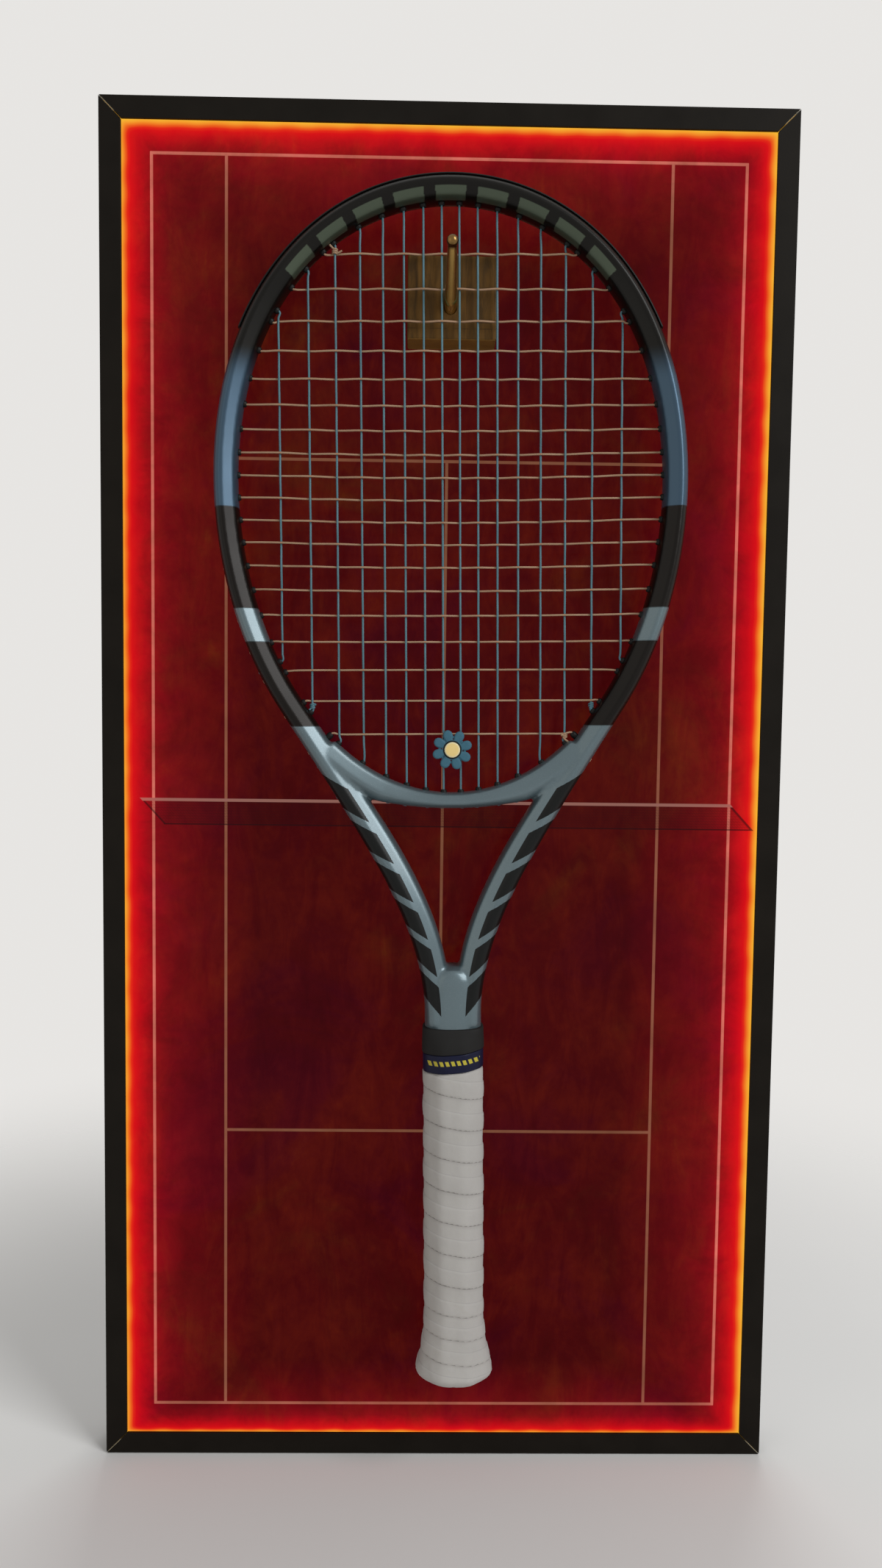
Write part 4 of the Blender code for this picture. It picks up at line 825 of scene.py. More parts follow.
def remeshed(name, mesh, voxel, rounds):
    """One closed skin over overlapping shapes, softened where they meet."""
    work = placed(name, mesh, Matrix())
    modifier = work.modifiers.new("voxels", "REMESH")
    modifier.mode = "VOXEL"
    modifier.voxel_size = voxel
    modifier.use_smooth_shade = True
    soften = work.modifiers.new("soften", "SMOOTH")
    soften.factor = 0.5
    soften.iterations = rounds
    graph = bpy.context.evaluated_depsgraph_get()
    made = bpy.data.meshes.new_from_object(work.evaluated_get(graph))
    made.name = name
    bpy.data.objects.remove(work)
    made.shade_smooth()
    return made


def circle(radius, height, count):
    """A ring of points about Z."""
    turn = np.linspace(0, math.tau, count, False)
    return [(radius * math.cos(a), radius * math.sin(a), height) for a in turn]


def oval_point(half_w, half_d, angle):
    """A point of a rounded section, a little squarer than an ellipse."""
    power = 2 / SQUARENESS
    x = math.copysign(abs(math.cos(angle)) ** power, math.cos(angle))
    y = math.copysign(abs(math.sin(angle)) ** power, math.sin(angle))
    return half_w * x, half_d * y


def ridged(point, half_w, half_d):
    """Cuts a rounded section's front and back to two flats that meet at a ridge."""
    out, w = point
    share = out / half_w
    reach = (share - RIDGE) / (1 - RIDGE) if share > RIDGE else (RIDGE - share) / (1 + RIDGE)
    return out, math.copysign(min(abs(w), half_d * (1 - RIDGE_FALL * reach)), w)


def grooved(half_w, half_d, depth):
    """A rounded section with a groove in its outer side, starting and ending at the groove."""
    half = GROOVE_W / 2
    start = solve(lambda a: oval_point(half_w, half_d, a)[1] - half, 0.0, 1.5)
    points = []
    for i in range(SECTION_POINTS + 1):
        around = oval_point(half_w, half_d, start + (math.tau - 2 * start) * i / SECTION_POINTS)
        points.append(ridged(around, half_w, half_d))
    floor = min(points[0][0], half_w - depth) if depth > 0 else oval_point(half_w, half_d, 0)[0]
    return points + [(floor, -half + 2 * half * k / 6) for k in range(7)]


# Racket.


def section_at(centre, normal, points):
    return [(centre.x + normal.x * out, centre.y + normal.y * out, w) for out, w in points]


def along_rim(s, points):
    return section_at(rim_centre(s), outward(rim_centre, s), points)


def along_yoke(t, points):
    return section_at(yoke_edge(t, 0), outward(head_centre, t), points)


def yoke_end(reach):
    """Where the outer side of the throat bridge comes to a reach from the middle."""
    return solve(lambda t: yoke_edge(t, yoke_half(t)).x - reach, YOKE_TURN, math.pi)


def stations(first, last, step):
    count = max(2, math.ceil((last - first) / step))
    return [first + (last - first) * i / count for i in range(count + 1)]


def racket_shell(paint):
    """The hoop with its arms, the throat bridge and the shaft, melted into one moulding."""
    work = bmesh.new()
    rings = []
    for s in stations(-2.0, 2.0, 0.0145):
        depth = GROOVE_DEPTH if abs(s) < STRIP_END_S + 0.01 else 0.0
        rings.append(along_rim(s, grooved(rim_half(s), HOOP_D / 2, depth)))
    skin(work, rings)
    limit = yoke_end(YOKE_FLARE_U + 2 * MM)
    rings = []
    for t in stations(YOKE_TURN - 0.06, math.tau - YOKE_TURN + 0.06, 0.013):
        depth = GROOVE_DEPTH if limit < t < math.tau - limit else 0.0
        rings.append(along_yoke(t, grooved(yoke_half(t), YOKE_D / 2, depth)))
    skin(work, rings)
    # The shaft's top widens downwards: height, then shares of its half width and half depth.
    rings = []
    for v, wide, deep in (
        (SHAFT_TOP_V + 2.2 * MM, 0.20, 0.55),
        (SHAFT_TOP_V + 0.6 * MM, 0.44, 0.84),
        (SHAFT_TOP_V - 1.6 * MM, 0.66, 0.96),
        (SHAFT_TOP_V - 5 * MM, 0.84, 1.02),
        (SHAFT_TOP_V - 11 * MM, 0.95, 1.02),
        (SHAFT_TOP_V - 22 * MM, 1.0, 1.0),
        (COLLAR_TOP_V - 6 * MM, 1.0, 1.0),
    ):
        turn = [oval_point(wide * SHAFT_W / 2, deep * SHAFT_D / 2, math.tau * i / 56) for i in range(56)]
        rings.append([(x, v, y) for x, y in turn])
    skin(work, rings)
    mesh = remeshed("racket_shell", mesh_of("racket_rough", work), 1.0 * MM, 7)

    # The paint follows the rim: each vertex keeps its place along it and its millimetres outwards.
    samples = np.linspace(-2, 2, 2401)
    line = np.array([rim_centre(s) for s in samples])
    normals = np.array([outward(rim_centre, s) for s in samples])
    flat = np.empty(len(mesh.vertices) * 3, np.float32)
    mesh.vertices.foreach_get("co", flat)
    points = flat.reshape(-1, 3)[:, :2].astype(float)
    parts = np.array_split(points, len(points) // 4000 + 1)
    nearest = np.concatenate([((part[:, None] - line[None]) ** 2).sum(2).argmin(1) for part in parts])
    out = ((points - line[nearest]) * normals[nearest]).sum(1) / MM
    for key, values in (("rim_s", samples[nearest]), ("rim_out", out)):
        layer = mesh.attributes.new(key, "FLOAT", "POINT")
        layer.data.foreach_set("value", values.astype(np.float32))
    add("racket_shell", mesh, paint, "racket", "racket_paint", ["racket_frame"])


def barrel(work, bore):
    """A grommet's barrel: a rolled lip inside the head, with the hole through it."""
    axis = (bore.at(1) - bore.at(0)).normalized()
    upright = Vector((0, 0, 1))
    across = axis.cross(upright)
    far = bore.length() - FLOOR_T / 2
    turn = [i * math.tau / BARREL_SIDES for i in range(BARREL_SIDES)]
    rings = []
    for distance, radius in (
        (far, BORE_R),
        (0.3 * MM, BORE_R),
        (0.05 * MM, BORE_R + 0.15 * MM),
        (0, BARREL_R - 0.35 * MM),
        (0.25 * MM, BARREL_R - 0.02 * MM),
        (NUB_L + 0.2 * MM, BARREL_R + 0.25 * MM),
        (NUB_L + 1.4 * MM, BARREL_R + 0.1 * MM),
        (far, BARREL_R),
    ):
        centre = bore.at(distance)
        rings.append([centre + (across * math.cos(a) + upright * math.sin(a)) * radius for a in turn])
    made = skin(work, rings, caps=False)
    for i in range(BARREL_SIDES):
        j = (i + 1) % BARREL_SIDES
        work.faces.new((made[-1][i], made[-1][j], made[0][j], made[0][i]))


def mirrored(half):
    """A whole section from the points of its front half."""
    return [(out, -w) for out, w in half[::-1]] + half


def guard(s):
    """The bumper's section: a channel in the groove, with a wing over each side of the hoop."""
    half_groove, inner, wing = GROOVE_W / 2 - CLEAR, CHANNEL_W / 2, GUARD_W / 2
    base, floor, lift = rim_half(s) - GROOVE_DEPTH + CLEAR, rim_floor(s), rim_half(s) + CLEAR
    drop = GUARD_SLOPE * (wing - half_groove)
    top = lift + GUARD_T
    return mirrored([
        (floor, inner),
        (top - 0.15 * MM, inner),
        (top, inner + 0.2 * MM),
        (top - 0.35 * drop, inner + 0.45 * (wing - inner)),
        (top - 0.9 * drop, wing - 0.5 * MM),
        (top - drop - 0.2 * MM, wing - 0.05 * MM),
        (lift - drop + 0.15 * MM, wing),
        (lift - drop, wing - 0.3 * MM),
        (lift, half_groove),
        (base, half_groove),
    ])


def channel(s):
    """A side strip's section: a floor with a low wall on each side of the string."""
    half_groove, inner = GROOVE_W / 2 - CLEAR, CHANNEL_W / 2
    base, floor = rim_half(s) - GROOVE_DEPTH + CLEAR, rim_floor(s)
    top = floor + 2 * STRING_R
    return mirrored([
        (floor, inner),
        (top - 0.1 * MM, inner),
        (top, inner + 0.1 * MM),
        (top, half_groove - 0.1 * MM),
        (top - 0.1 * MM, half_groove),
        (base, half_groove),
    ])


def flat_strip(t):
    """The throat strip's section."""
    low = yoke_half(t) - GROOVE_DEPTH + CLEAR
    return mirrored([(low + FLOOR_T, GROOVE_W / 2 - CLEAR), (low, GROOVE_W / 2 - CLEAR)])


def grommets(bores, paint):
    """The bumper, the two side strips and the throat strip, each with its barrels."""
    rim = [bore for bore in bores.values() if not bore.in_yoke]
    mouldings = [
        (
            "bumper_moulding",
            "bumper_guard",
            [along_rim(s, guard(s)) for s in stations(-GUARD_END, GUARD_END, MOULDING_STEP)],
            [bore for bore in rim if bore.s < GUARD_END],
        )
    ]
    for side, word in ((-1, "left"), (1, "right")):
        first, last = sorted((side * (GUARD_END + 0.002), side * STRIP_END_S))
        rings = [along_rim(s, channel(s)) for s in stations(first, last, MOULDING_STEP)]
        barrels = [bore for bore in rim if bore.side == side and bore.s > GUARD_END]
        mouldings.append((f"grommet_moulding_{word}", f"grommet_strip_{word}", rings, barrels))
    limit = yoke_end(YOKE_FLARE_U + 1.4 * MM)
    rings = [along_yoke(t, flat_strip(t)) for t in stations(limit, math.tau - limit, MOULDING_STEP)]
    barrels = [bore for bore in bores.values() if bore.in_yoke]
    mouldings.append(("grommet_moulding_throat", "grommet_strip_throat", rings, barrels))
    for name, node, rings, barrels in mouldings:
        work = bmesh.new()
        skin(work, rings)
        for bore in barrels:
            barrel(work, bore)
        add(name, mesh_of(name, work, 50), paint, "racket", "black_grommet", [node])


def entry(bore, other):
    """The point just inside the head where a string bends into its hole."""
    point = bore.at(0)
    turn = (point - other).angle(bore.at(1) - point)
    return bore.at(-STRING_R * math.tan(turn / 2) - 0.1 * MM)


def corner(bore):
    return bore.at(bore.length() + CLEAR + STRING_R)


def groove_run(first, second, lane):
    """The points of a string from one bore's outer end along the groove to the next."""
    lift = CLEAR + STRING_R
    if first.in_yoke:
        ends = [bore.exit_t if bore.side > 0 else math.tau - bore.exit_t for bore in (first, second)]
    else:
        ends = [bore.s * bore.side for bore in (first, second)]

    def place(x):
        return yoke_edge(x, yoke_floor(x) + lift) if first.in_yoke else rim_edge(x, rim_floor(x) + lift)

    length = (place(ends[0]) - place(ends[1])).length
    ramp = RAMP / length
    steps = max(1, math.ceil(length * (1 - 2 * ramp) / RUN_STEP))
    points = [corner(first)]
    for i in range(steps + 1):
        share = ramp + i * (1 - 2 * ramp) / steps
        points.append(Vector((*place(ends[0] + share * (ends[1] - ends[0])), lane)))
    return [*points, corner(second)]


def knot_end(bore, towards, lane):
    """A string's end tied off in the groove: its points and their sizes."""
    s = bore.s * bore.side
    unit = (rim_edge(s + 0.001, 0) - rim_edge(s - 0.001, 0)).length / 0.002
    points, swell = [corner(bore)], [1.0]
    for distance, rise, size in ((3.0, 0, 1), (3.8, 0.35, 1.5), (5.4, 0.35, 1.5), (6.0, 0.35, 0.5)):
        lift = CLEAR + STRING_R + rise * MM
        place = rim_edge(s + towards * distance * MM / unit, rim_floor(s) + lift)
        points.append(Vector((*place, lane)))
        swell.append(size)
    return points, swell


def half_of(main):
    """The half of the head that a main is in: -1 for the left, 1 for the right."""
    return -1 if main < MAINS // 2 else 1


def meet(bores, main, row):
    """Whether a main and a cross pass each other, clear of the hoop."""
    top, low = (bores["main", main, end, half_of(main)].mouth.y for end in ("top", "low"))
    clear = low + HOLE_GAP < cross_v(row) < top - HOLE_GAP
    return clear and abs(main_u(main)) < bores["cross", row, "end", 1].mouth.x - HOLE_GAP


def crossing(main, row, wave):
    u = main_u(main)
    return Vector((u, crossing_v(row, u), -wave if (main + row) % 2 else wave))


def main_span(bores, index):
    """A main's points inside the head, with its top and its low bore."""
    top, low = (bores["main", index, end, half_of(index)] for end in ("top", "low"))
    u = main_u(index)
    woven = [crossing(index, row, MAIN_WAVE) for row in range(CROSSES) if meet(bores, index, row)]
    upper = Vector((u, min(cross_v(0) + 5 * MM, top.mouth.y - HOLE_STEP / 2), 0))
    lower = Vector((u, max(cross_v(CROSSES - 1) - 4 * MM, low.mouth.y + HOLE_STEP / 2), 0))
    inside = [point for point in woven if lower.y + 2 * MM < point.y < upper.y - 2 * MM]
    ends = (top.at(STRING_IN), entry(top, upper), upper), (lower, entry(low, lower), low.at(STRING_IN))
    return [*ends[0], *inside, *ends[1]], top, low


def cross_span(bores, index):
    """A cross's points inside the head, with its left and its right bore."""
    left, right = (bores["cross", index, "end", side] for side in (-1, 1))
    woven = [crossing(main, index, -CROSS_WAVE) for main in range(MAINS) if meet(bores, main, index)]
    ends = (left.at(STRING_IN), entry(left, woven[0])), (entry(right, woven[-1]), right.at(STRING_IN))
    return [*ends[0], *woven, *ends[1]], left, right


def strung(spans, way):
    """A whole string's points and their sizes: to and fro through its spans, tied off at both ends.

    way is the side of the groove that it runs in, and its knots point that way round the rim."""
    start, start_swell = knot_end(spans[0][1], -way, way * KNOT_LANE)
    points, hole = start[::-1], None
    for index, (span, first, second) in enumerate(spans):
        if index % 2:
            span, first, second = span[::-1], second, first
        if hole:
            points += groove_run(hole, first, way * LANE)
        points += span
        hole = second
    end, end_swell = knot_end(hole, way, way * KNOT_LANE)
    plain = [1.0] * (len(points) - len(start))
    return points + end, start_swell[::-1] + plain + end_swell


def string_curve(name, line, paint, slot, node=None, radius=STRING_R):
    """One round string; its line is the points and the share of the radius at each."""
    curve = bpy.data.curves.new(name, "CURVE")
    curve.dimensions = "3D"
    curve.bevel_depth = radius
    curve.bevel_resolution = 3
    curve.resolution_u = 4
    curve.use_fill_caps = True
    points, swell = line
    spline = curve.splines.new("BEZIER")
    spline.bezier_points.add(len(points) - 1)
    for i, (place, size) in enumerate(zip(points, swell)):
        knob = spline.bezier_points[i]
        knob.co = place
        knob.radius = size
        before, after = points[max(i - 1, 0)], points[min(i + 1, len(points) - 1)]
        along = (after - before).normalized()
        knob.handle_left_type = knob.handle_right_type = "FREE"
        knob.handle_left = place - along * (place - before).length * 0.34
        knob.handle_right = place + along * (after - place).length * 0.34
    add(name, curve, paint, "racket", slot, [node] if node else [])


def strings(bores, blue, pale):
    mains = strung([main_span(bores, index) for index in range(MAINS)], -1)
    string_curve("main_stringing", mains, blue, "blue_string", "main_string", MAIN_SHOWN_R)
    crosses = strung([cross_span(bores, index) for index in range(CROSSES)], 1)
    string_curve("cross_stringing", crosses, pale, "pale_string", "cross_string", CROSS_SHOWN_R)

    # Small knots on four mains: name, main, end, side, distance from the hole in millimetres, looseness.
    for name, index, end, side, reach, loose in (
        ("knot_pale_top", 2, "top", -1, 3.2, 1.0),
        ("knot_pale_low", 13, "low", 1, 3.2, 1.0),
        ("knot_blue_left", 1, "low", -1, 2.6, 0.4),
        ("knot_blue_right", 14, "low", 1, 2.6, 0.4),
    ):
        up = 1 if end == "top" else -1
        middle = Vector((main_u(index), bores["main", index, end, side].mouth.y - up * reach * MM, 0))
        knot = []
        for k in range(19):
            angle = math.tau * k / 8 + 0.6
            radius = (1.0 + 0.25 * loose) * MM
            rise = (k / 18 - 0.5) * 2.4 * MM * up
            knot.append(middle + Vector((math.cos(angle) * radius, rise, math.sin(angle) * radius)))
        tail = Vector((side * 2.6 * MM, up * 2.4 * MM, 0.8 * MM)) * loose
        start = knot[0] + Vector((-side * 3.0 * MM, up * 1.2 * MM, 0.6 * MM)) * loose
        line = [start, *knot, knot[-1] + tail], [0.85] * (len(knot) + 2)
        paint, slot = (pale, "pale_string") if "pale" in name else (blue, "blue_string")
        string_curve(name, line, paint, slot)


# Handle.


def handle_half(v, extra):
    """The half width and half depth of the handle at a height, flared at the butt."""
    share = max(0.0, min(1.0, 1 - (v - BUTT_V - BUTT_T) / FLARE_L))
    flare = FLARE_W / 2 * share**2
    return PALLET_W / 2 + flare + extra, PALLET_D / 2 + 0.85 * flare + extra


def rounding(v):
    """How far the grip's outside draws in at a height, on its rounded edge at the butt."""
    drop = max(0.0, BUTT_V + BUTT_ROUND - v)
    return BUTT_ROUND - math.sqrt(max(0.0, BUTT_ROUND**2 - drop**2))


def octagon_ring(half_w, half_d):
    """Radii of an eight-sided section with eased corners, one for each of ANGLES."""
    a, b = half_w * PALLET_BEVEL, half_d * PALLET_BEVEL
    slant = Vector((half_d - b, half_w - a))
    reach = slant.x * half_w + slant.y * b
    radii = []
    for angle in ANGLES:
        c, s = abs(math.cos(angle)), abs(math.sin(angle))
        sides = half_w / c if c > 1e-9 else 9, half_d / s if s > 1e-9 else 9
        radii.append(min(*sides, reach / (slant.x * c + slant.y * s)))
    weights = {k: CORNER_BLUR + 1 - abs(k) for k in range(-CORNER_BLUR, CORNER_BLUR + 1)}
    total = sum(weights.values())
    return [sum(w * radii[(i + k) % ROUND] for k, w in weights.items()) / total for i in range(ROUND)]


def oval_ring(half_w, half_d, squareness):
    radii = []
    for angle in ANGLES:
        c, s = abs(math.cos(angle)), abs(math.sin(angle))
        radii.append(((c / half_w) ** squareness + (s / half_d) ** squareness) ** (-1 / squareness))
    return radii


def ring(radii, v, slant=0.0, inset=0.0):
    """The points of a section at a height, tilted by a slant across the handle."""
    points = []
    for radius, angle in zip(radii, ANGLES):
        x = (radius - inset) * math.cos(angle)
        points.append((x, v + slant * x, (radius - inset) * math.sin(angle)))
    return points


def lap_phase(v, angle):
    """Where a point lies within its lap: 0 at a lap's lower edge, 1 at the next edge above."""
    rise = v - BUTT_V
    # The laps near the butt are closer together.
    close = 46 * MM
    turns = rise / LAP_PITCH if rise > close else close / LAP_PITCH - (close - rise) / LAP_PITCH * 1.35
    return (turns - angle / math.tau) % 1.0


def overgrip(paint):
    """The wrapped tape, with raised laps, a slack surface and a rounded edge at the butt."""
    top = COLLAR_TOP_V - COLLAR_H - BAND_H - CLEAR
    foot = BUTT_V + PLUG_EDGE
    plug = octagon_ring(*handle_half(BUTT_V + BUTT_T, 0.1 * MM - PLUG_INSET))
    rings = [ring(plug, foot + lift) for lift in (3 * MM, 0.3 * MM)]
    laps = [0.5] * (len(rings) * ROUND)
    for row in range(GRIP_ROWS + 1):
        v = foot + (top - foot) * row / GRIP_ROWS
        radii = octagon_ring(*handle_half(v, GRIP_T - 0.2 * MM - rounding(v)))
        end = min(1.0, (GRIP_ROWS - row) / 3)
        low = ease((foot + 40 * MM - v) / (30 * MM))
        made = []
        for radius, angle in zip(radii, ANGLES):
            x, y = math.cos(angle), math.sin(angle)
            slanted = v + BAND_SLANT * radius * x * max(0.0, (row / GRIP_ROWS - 0.9) * 10)
            phase = lap_phase(slanted, angle)
            # A lap rises steeply at its edge and steps down at its middle, where the one below ends.
            if phase < 0.025:
                raised = ease(phase / 0.025)
            else:
                swell = math.sin(math.pi * min(1, phase * 1.9)) ** 0.7
                raised = 0.1 + 0.55 * ease((0.53 - phase) / 0.05) + 0.35 * swell
            wave = Vector((x * 2.2, y * 2.2, slanted * 60))
            sag = noise.noise(wave) * 0.25 * MM + noise.noise(wave * 3.3) * 0.09 * MM
            pull = noise.noise(Vector((x * 9, y * 9, slanted * 330 + angle * 3)))
            sag += pull * (0.05 + 0.16 * low) * MM
            reach = radius + raised * LAP_STEP + sag - (1 - end) ** 2 * 0.9 * MM
            made.append((reach * x, slanted, reach * y))
            laps.append(phase)
        rings.append(made)
    work = bmesh.new()
    skin(work, rings)
    mesh = mesh_of("overgrip_wrap", work)
    layer = mesh.attributes.new("lap", "FLOAT", "POINT")
    layer.data.foreach_set("value", np.array(laps, np.float32))
    add("overgrip_wrap", mesh, paint, "racket", "white_tape", ["overgrip"])


def handle_fittings(rubber, navy, plastic):
    """The collar, the tape band and the butt cap."""
    band_top = COLLAR_TOP_V - COLLAR_H
    octagonal = octagon_ring(*handle_half(band_top, CLEAR + COLLAR_T))
    neck = oval_ring(SHAFT_W / 2 + 1.3 * MM, SHAFT_D / 2 + 1.3 * MM, 2.8)
    rings = []
    # From the top: drop, share of the way from the neck to the octagon, and inset.
    for drop, share, inset in (
        *((-0.2, 0, 1.15), (0.0, 0, 0.6), (0.35, 0, 0.2), (0.9, 0, 0.0)),
        *((3.2, 0.15, 0.0), (6.0, 0.55, 0.0), (9.0, 0.93, 0.0), (12.0, 1.0, 0.0)),
    ):
        radii = [a + (b - a) * share for a, b in zip(neck, octagonal)]
        rings.append(ring(radii, COLLAR_TOP_V - drop * MM, 0, inset * MM))
    for inset, lift in ((0.0, 0.5), (0.1, 0.2), (0.4, 0.0), (2.0, 0.0)):
        rings.append(ring(octagonal, band_top + CLEAR + lift * MM, BAND_SLANT, inset * MM))
    skinned("collar_sleeve", rings, rubber, "racket", "black_rubber", "rubber_collar", 60)

    taped = octagon_ring(*handle_half(band_top, CLEAR + BAND_T))
    edge = ((0, 1.2), (0, 0.25), (0.03, 0.05), (0.1, 0.0))
    rings = []
    for share, inset in (*edge, *[(1 - share, inset) for share, inset in edge[::-1]]):
        rings.append(ring(taped, band_top - BAND_H * share, BAND_SLANT, inset * MM))
    skinned("finishing_tape", rings, navy, "racket", "navy_tape", "finishing_band", 60)

    wide, deep = handle_half(BUTT_V + BUTT_T, -PLUG_INSET)
    door = octagon_ring(wide * DOOR_SHARE + CLEAR, deep * DOOR_SHARE + CLEAR)
    plug = octagon_ring(wide, deep)
    outside = ((5, 0.4), (4.6, 0), (0.9, 0), (0.5, 0.06), (0.2, 0.22), (0.05, 0.5), (0, 0.8))
    rings = [ring(plug, BUTT_V + height * MM, 0, inset * MM) for height, inset in outside]
    opening = ((0, 0), (0.2, 0.1), (1.8, 0.1))
    rings += [ring(door, BUTT_V + height * MM, 0, inset * MM) for height, inset in opening]
    skinned("butt_moulding", rings, plastic, "racket", "black_plastic", "butt_cap", 50)


# Dampener and peg.


def dampener(teal, cream):
    """A flower of eight petals round a grooved hub, with a disc in its face."""
    back = (1.55 + 0.65 + 0.3) * MM
    middle = back + 1.2 * MM
    work = bmesh.new()
    for k in range(8):
        turn = Matrix.Rotation((k + 0.37) * math.tau / 8, 4, "Z")
        turn = turn @ Matrix.Translation((7.75 * MM, 0, middle))
        rings = []
        for i in range(1, 12):
            rise = math.pi * (i / 12 - 0.5)
            span = math.cos(rise) ** 0.35
            lift = math.copysign(abs(math.sin(rise)) ** 0.75, rise) * 1.2 * MM
            row = []
            for j in range(28):
                angle = math.tau * j / 28
                x = 3.75 * MM * span * math.cos(angle)
                y = 2.75 * MM * span * (1 + 0.18 * math.cos(angle)) * math.sin(angle)
                row.append(turn @ Vector((x, y, lift)))
            rings.append(row)
        skin(work, rings)
    groove = ((-2.5, 3.6), (-2.5, 4.7), (-2.2, 5.2), (-1.1, 5.3), (-0.95, 4.1), (0.95, 4.1), (1.1, 5.4))
    rim = ((0.1, 5.4), (2.3, 5.6), (2.35, 4.95), (1.9, 4.85))
    hub = [circle(radius * MM, height * MM, 48) for height, radius in groove]
    skin(work, hub + [circle(radius * MM, back + height * MM, 48) for height, radius in rim])
    mesh = remeshed("flower_moulding", mesh_of("flower_rough", work), 0.32 * MM, 3)
    seat = HUNG @ Matrix.Translation((0, DAMP_V, 0))
    add("flower_moulding", mesh, teal, "dampener", "teal_rubber", ["dampener_flower"], seat)

    low = back + 2.4 * MM - 0.7 * MM + CLEAR
    edge = ((0, 4.2), (0, 4.32), (0.15, 4.4), (0.85, 4.4), (1.1, 4.3))
    face = ((1.28, 4.0), (1.36, 3.5), (1.4, 2.3), (1.4, 0.8))
    rings = [circle(radius * MM, low + height * MM, 64) for height, radius in edge + face]
    skinned("disc_moulding", rings, cream, "dampener", "cream_rubber", "dampener_disc", 60, seat)


def peg(brass):
    """A tapered rod that rises from the block and ends in a ball."""
    direction = Vector((0, -math.cos(PEG_TILT), math.sin(PEG_TILT)))
    across = Vector((1, 0, 0))
    turn = Matrix((across, direction.cross(across), direction)).transposed().to_4x4()
    inner = (4.2 * MM) / math.cos(PEG_TILT) - 20.4 * MM
    profile = [(0.2 * MM, inner), (PEG_BASE_R - 0.3 * MM, inner), (PEG_BASE_R, inner + 0.3 * MM)]
    for share in [k / 9 for k in range(8)]:
        profile.append((PEG_BASE_R + (PEG_TIP_R - PEG_BASE_R) * share, PEG_OUT * share))
    neck = math.asin(PEG_TIP_R / PEG_BALL_R)
    profile.append((PEG_TIP_R + 0.02 * MM, PEG_OUT - PEG_BALL_R * math.cos(neck) - 0.5 * MM))
    for k in range(15):
        angle = math.pi - neck - (math.pi - neck - 0.06) * k / 14
        profile.append((PEG_BALL_R * math.sin(angle), PEG_OUT + PEG_BALL_R * math.cos(angle)))
    work = bmesh.new()
    skin(work, [circle(radius, height, 56) for radius, height in profile])
    mesh = mesh_of("peg_turned", work, 40)
    mesh.transform(turn)
    add("peg_turned", mesh, brass, "peg", "brass", ["brass_peg"], Matrix.Translation(HANG))


# Light box.


def dress(names, paint, bevel=0.0):
    """Paints pieces that the visual model takes from the CAD model, and softens their edges."""
    for name in names:
        node = NODES[name]
        for slot in node.material_slots:
            slot.material = paint
        if not node.material_slots:
            node.data.materials.append(paint)
        if bevel:
            weld = node.modifiers.new("weld", "WELD")
            weld.merge_threshold = 0.00001
            edge = node.modifiers.new("edge", "BEVEL")
            edge.width = bevel
            edge.segments = 2
            edge.limit_method = "ANGLE"
            edge.angle_limit = math.radians(30)


def named(word):
    return [name for name in NODES if word in name]


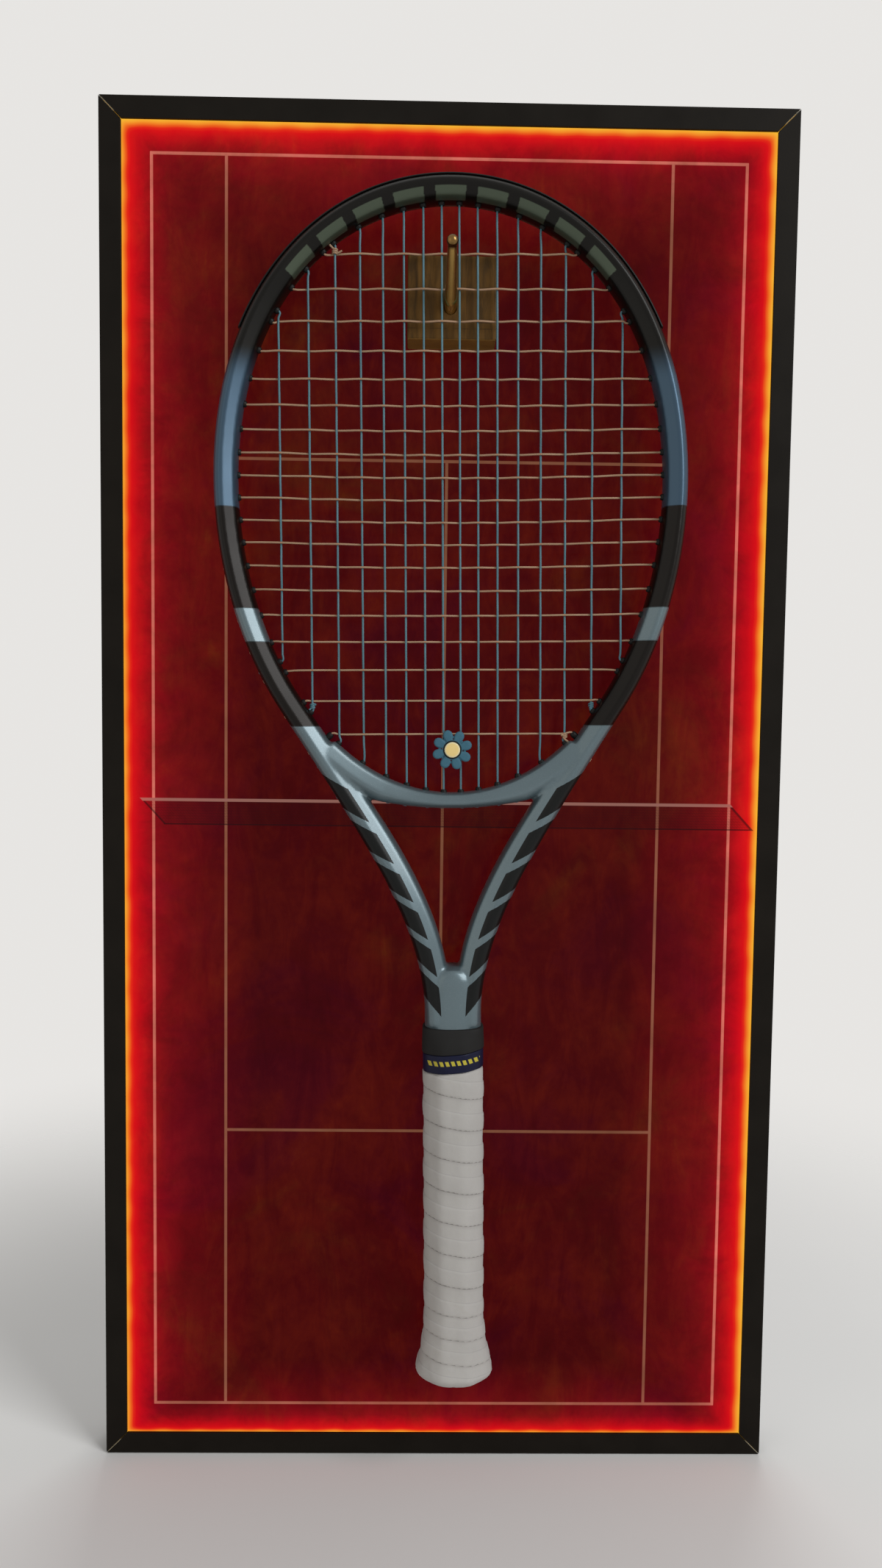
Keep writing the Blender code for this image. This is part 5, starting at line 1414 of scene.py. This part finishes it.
def light_box():
    dress([f"frame_rail_{side}" for side in ("top", "bottom", "left", "right")], rail_paint(), 0.25 * MM)
    dress(["court_panel"], court_paint())
    dress(["back_panel"], plastic_paint("back_sheet_coated", (0.17, 0.175, 0.18), 0.5, 0.35, 0.85, 700))
    bare = metal_paint("bare_aluminium_drawn", (0.58, 0.59, 0.6), 0.34, (40, 1, 1))
    dress(["hanging_bar"], bare, 0.15 * MM)
    dress(named("corner_bracket"), bare)
    zinc = metal_paint("zinc_screw", (0.52, 0.53, 0.55), 0.3, (1, 1, 1), 0.25)
    dress(named("screw"), zinc, 0.12 * MM)
    dress(named("led_strip"), plastic_paint("led_tape_coat", (0.85, 0.6, 0.24), 0.4, 0.4, 0.8))
    dress(["power_socket"], plastic_paint("socket_black", (0.014, 0.014, 0.015), 0.42), 0.15 * MM)
    dress(["inlet_lead"], plastic_paint("lead_sheath", (0.32, 0.02, 0.018), 0.45))
    stained = wood_paint("stained_block", (0.033, 0.0160, 0.0040), (0.106, 0.0495, 0.0105), True)
    dress(["wood_block"], stained)
    dress(["packing_block"], wood_paint("plain_packing", (0.33, 0.21, 0.11), (0.5, 0.35, 0.2), False))


def floor():
    """A pale floor that fades out round the object and keeps its shadow."""
    mesh = bpy.data.meshes.new("studio_floor")
    turns = ((-1, -1), (1, -1), (1, 1), (-1, 1))
    mesh.from_pydata([(x * FLOOR_HALF, y * FLOOR_HALF, FLOOR_Z) for x, y in turns], [], [(0, 1, 2, 3)])
    made = placed("studio_floor", mesh, Matrix())
    p = Paint("pale_floor", 0.8, Specular_IOR_Level=0.1)
    p.set("Base Color", p.mix(p.noise(6, 3, 0.5), (0.74, 0.725, 0.705), (0.77, 0.755, 0.735)))
    p.set("Alpha", p.fall(p.away(p.axis("X"), p.axis("Y")), 0.28, 0.85))
    mesh.materials.append(p.material)


def racket():
    lacquer = racket_paint()
    black = plastic_paint("grommet_nylon", (0.009, 0.0088, 0.0085), 0.45, 0.14, 0.7)
    blue = string_paint("blue_polyester", (0.055, 0.130, 0.160), (0.095, 0.200, 0.238))
    pale = string_paint("natural_multifilament", (0.27, 0.162, 0.096), (0.39, 0.25, 0.16))
    bores = all_bores()
    racket_shell(lacquer)
    grommets(bores, black)
    strings(bores, blue, pale)
    overgrip(grip_paint())
    rubber = rubber_paint("collar_rubber", (0.016, 0.0155, 0.015))
    plastic = plastic_paint("butt_plastic", (0.014, 0.014, 0.015), 0.4)
    handle_fittings(rubber, band_paint(), plastic)
    dress(["butt_door"], plastic, 0.2 * MM)
    dress(["handle_pallet"], rubber_paint("pallet_foam", (0.25, 0.25, 0.26), 0.8))
    # The flower's dark middle is a painted shadow in the gap round the disc.
    teal = rubber_paint("flower_rubber", (0.052, 0.138, 0.19), 0.5, (5.15, (0.012, 0.02, 0.024)))
    cream = rubber_paint("disc_rubber", (0.80, 0.70, 0.42), 0.5, (3.5, (0.76, 0.58, 0.235)))
    dampener(teal, cream)


camera()
studio()
floor()
light_box()
racket()
peg(brass_paint())
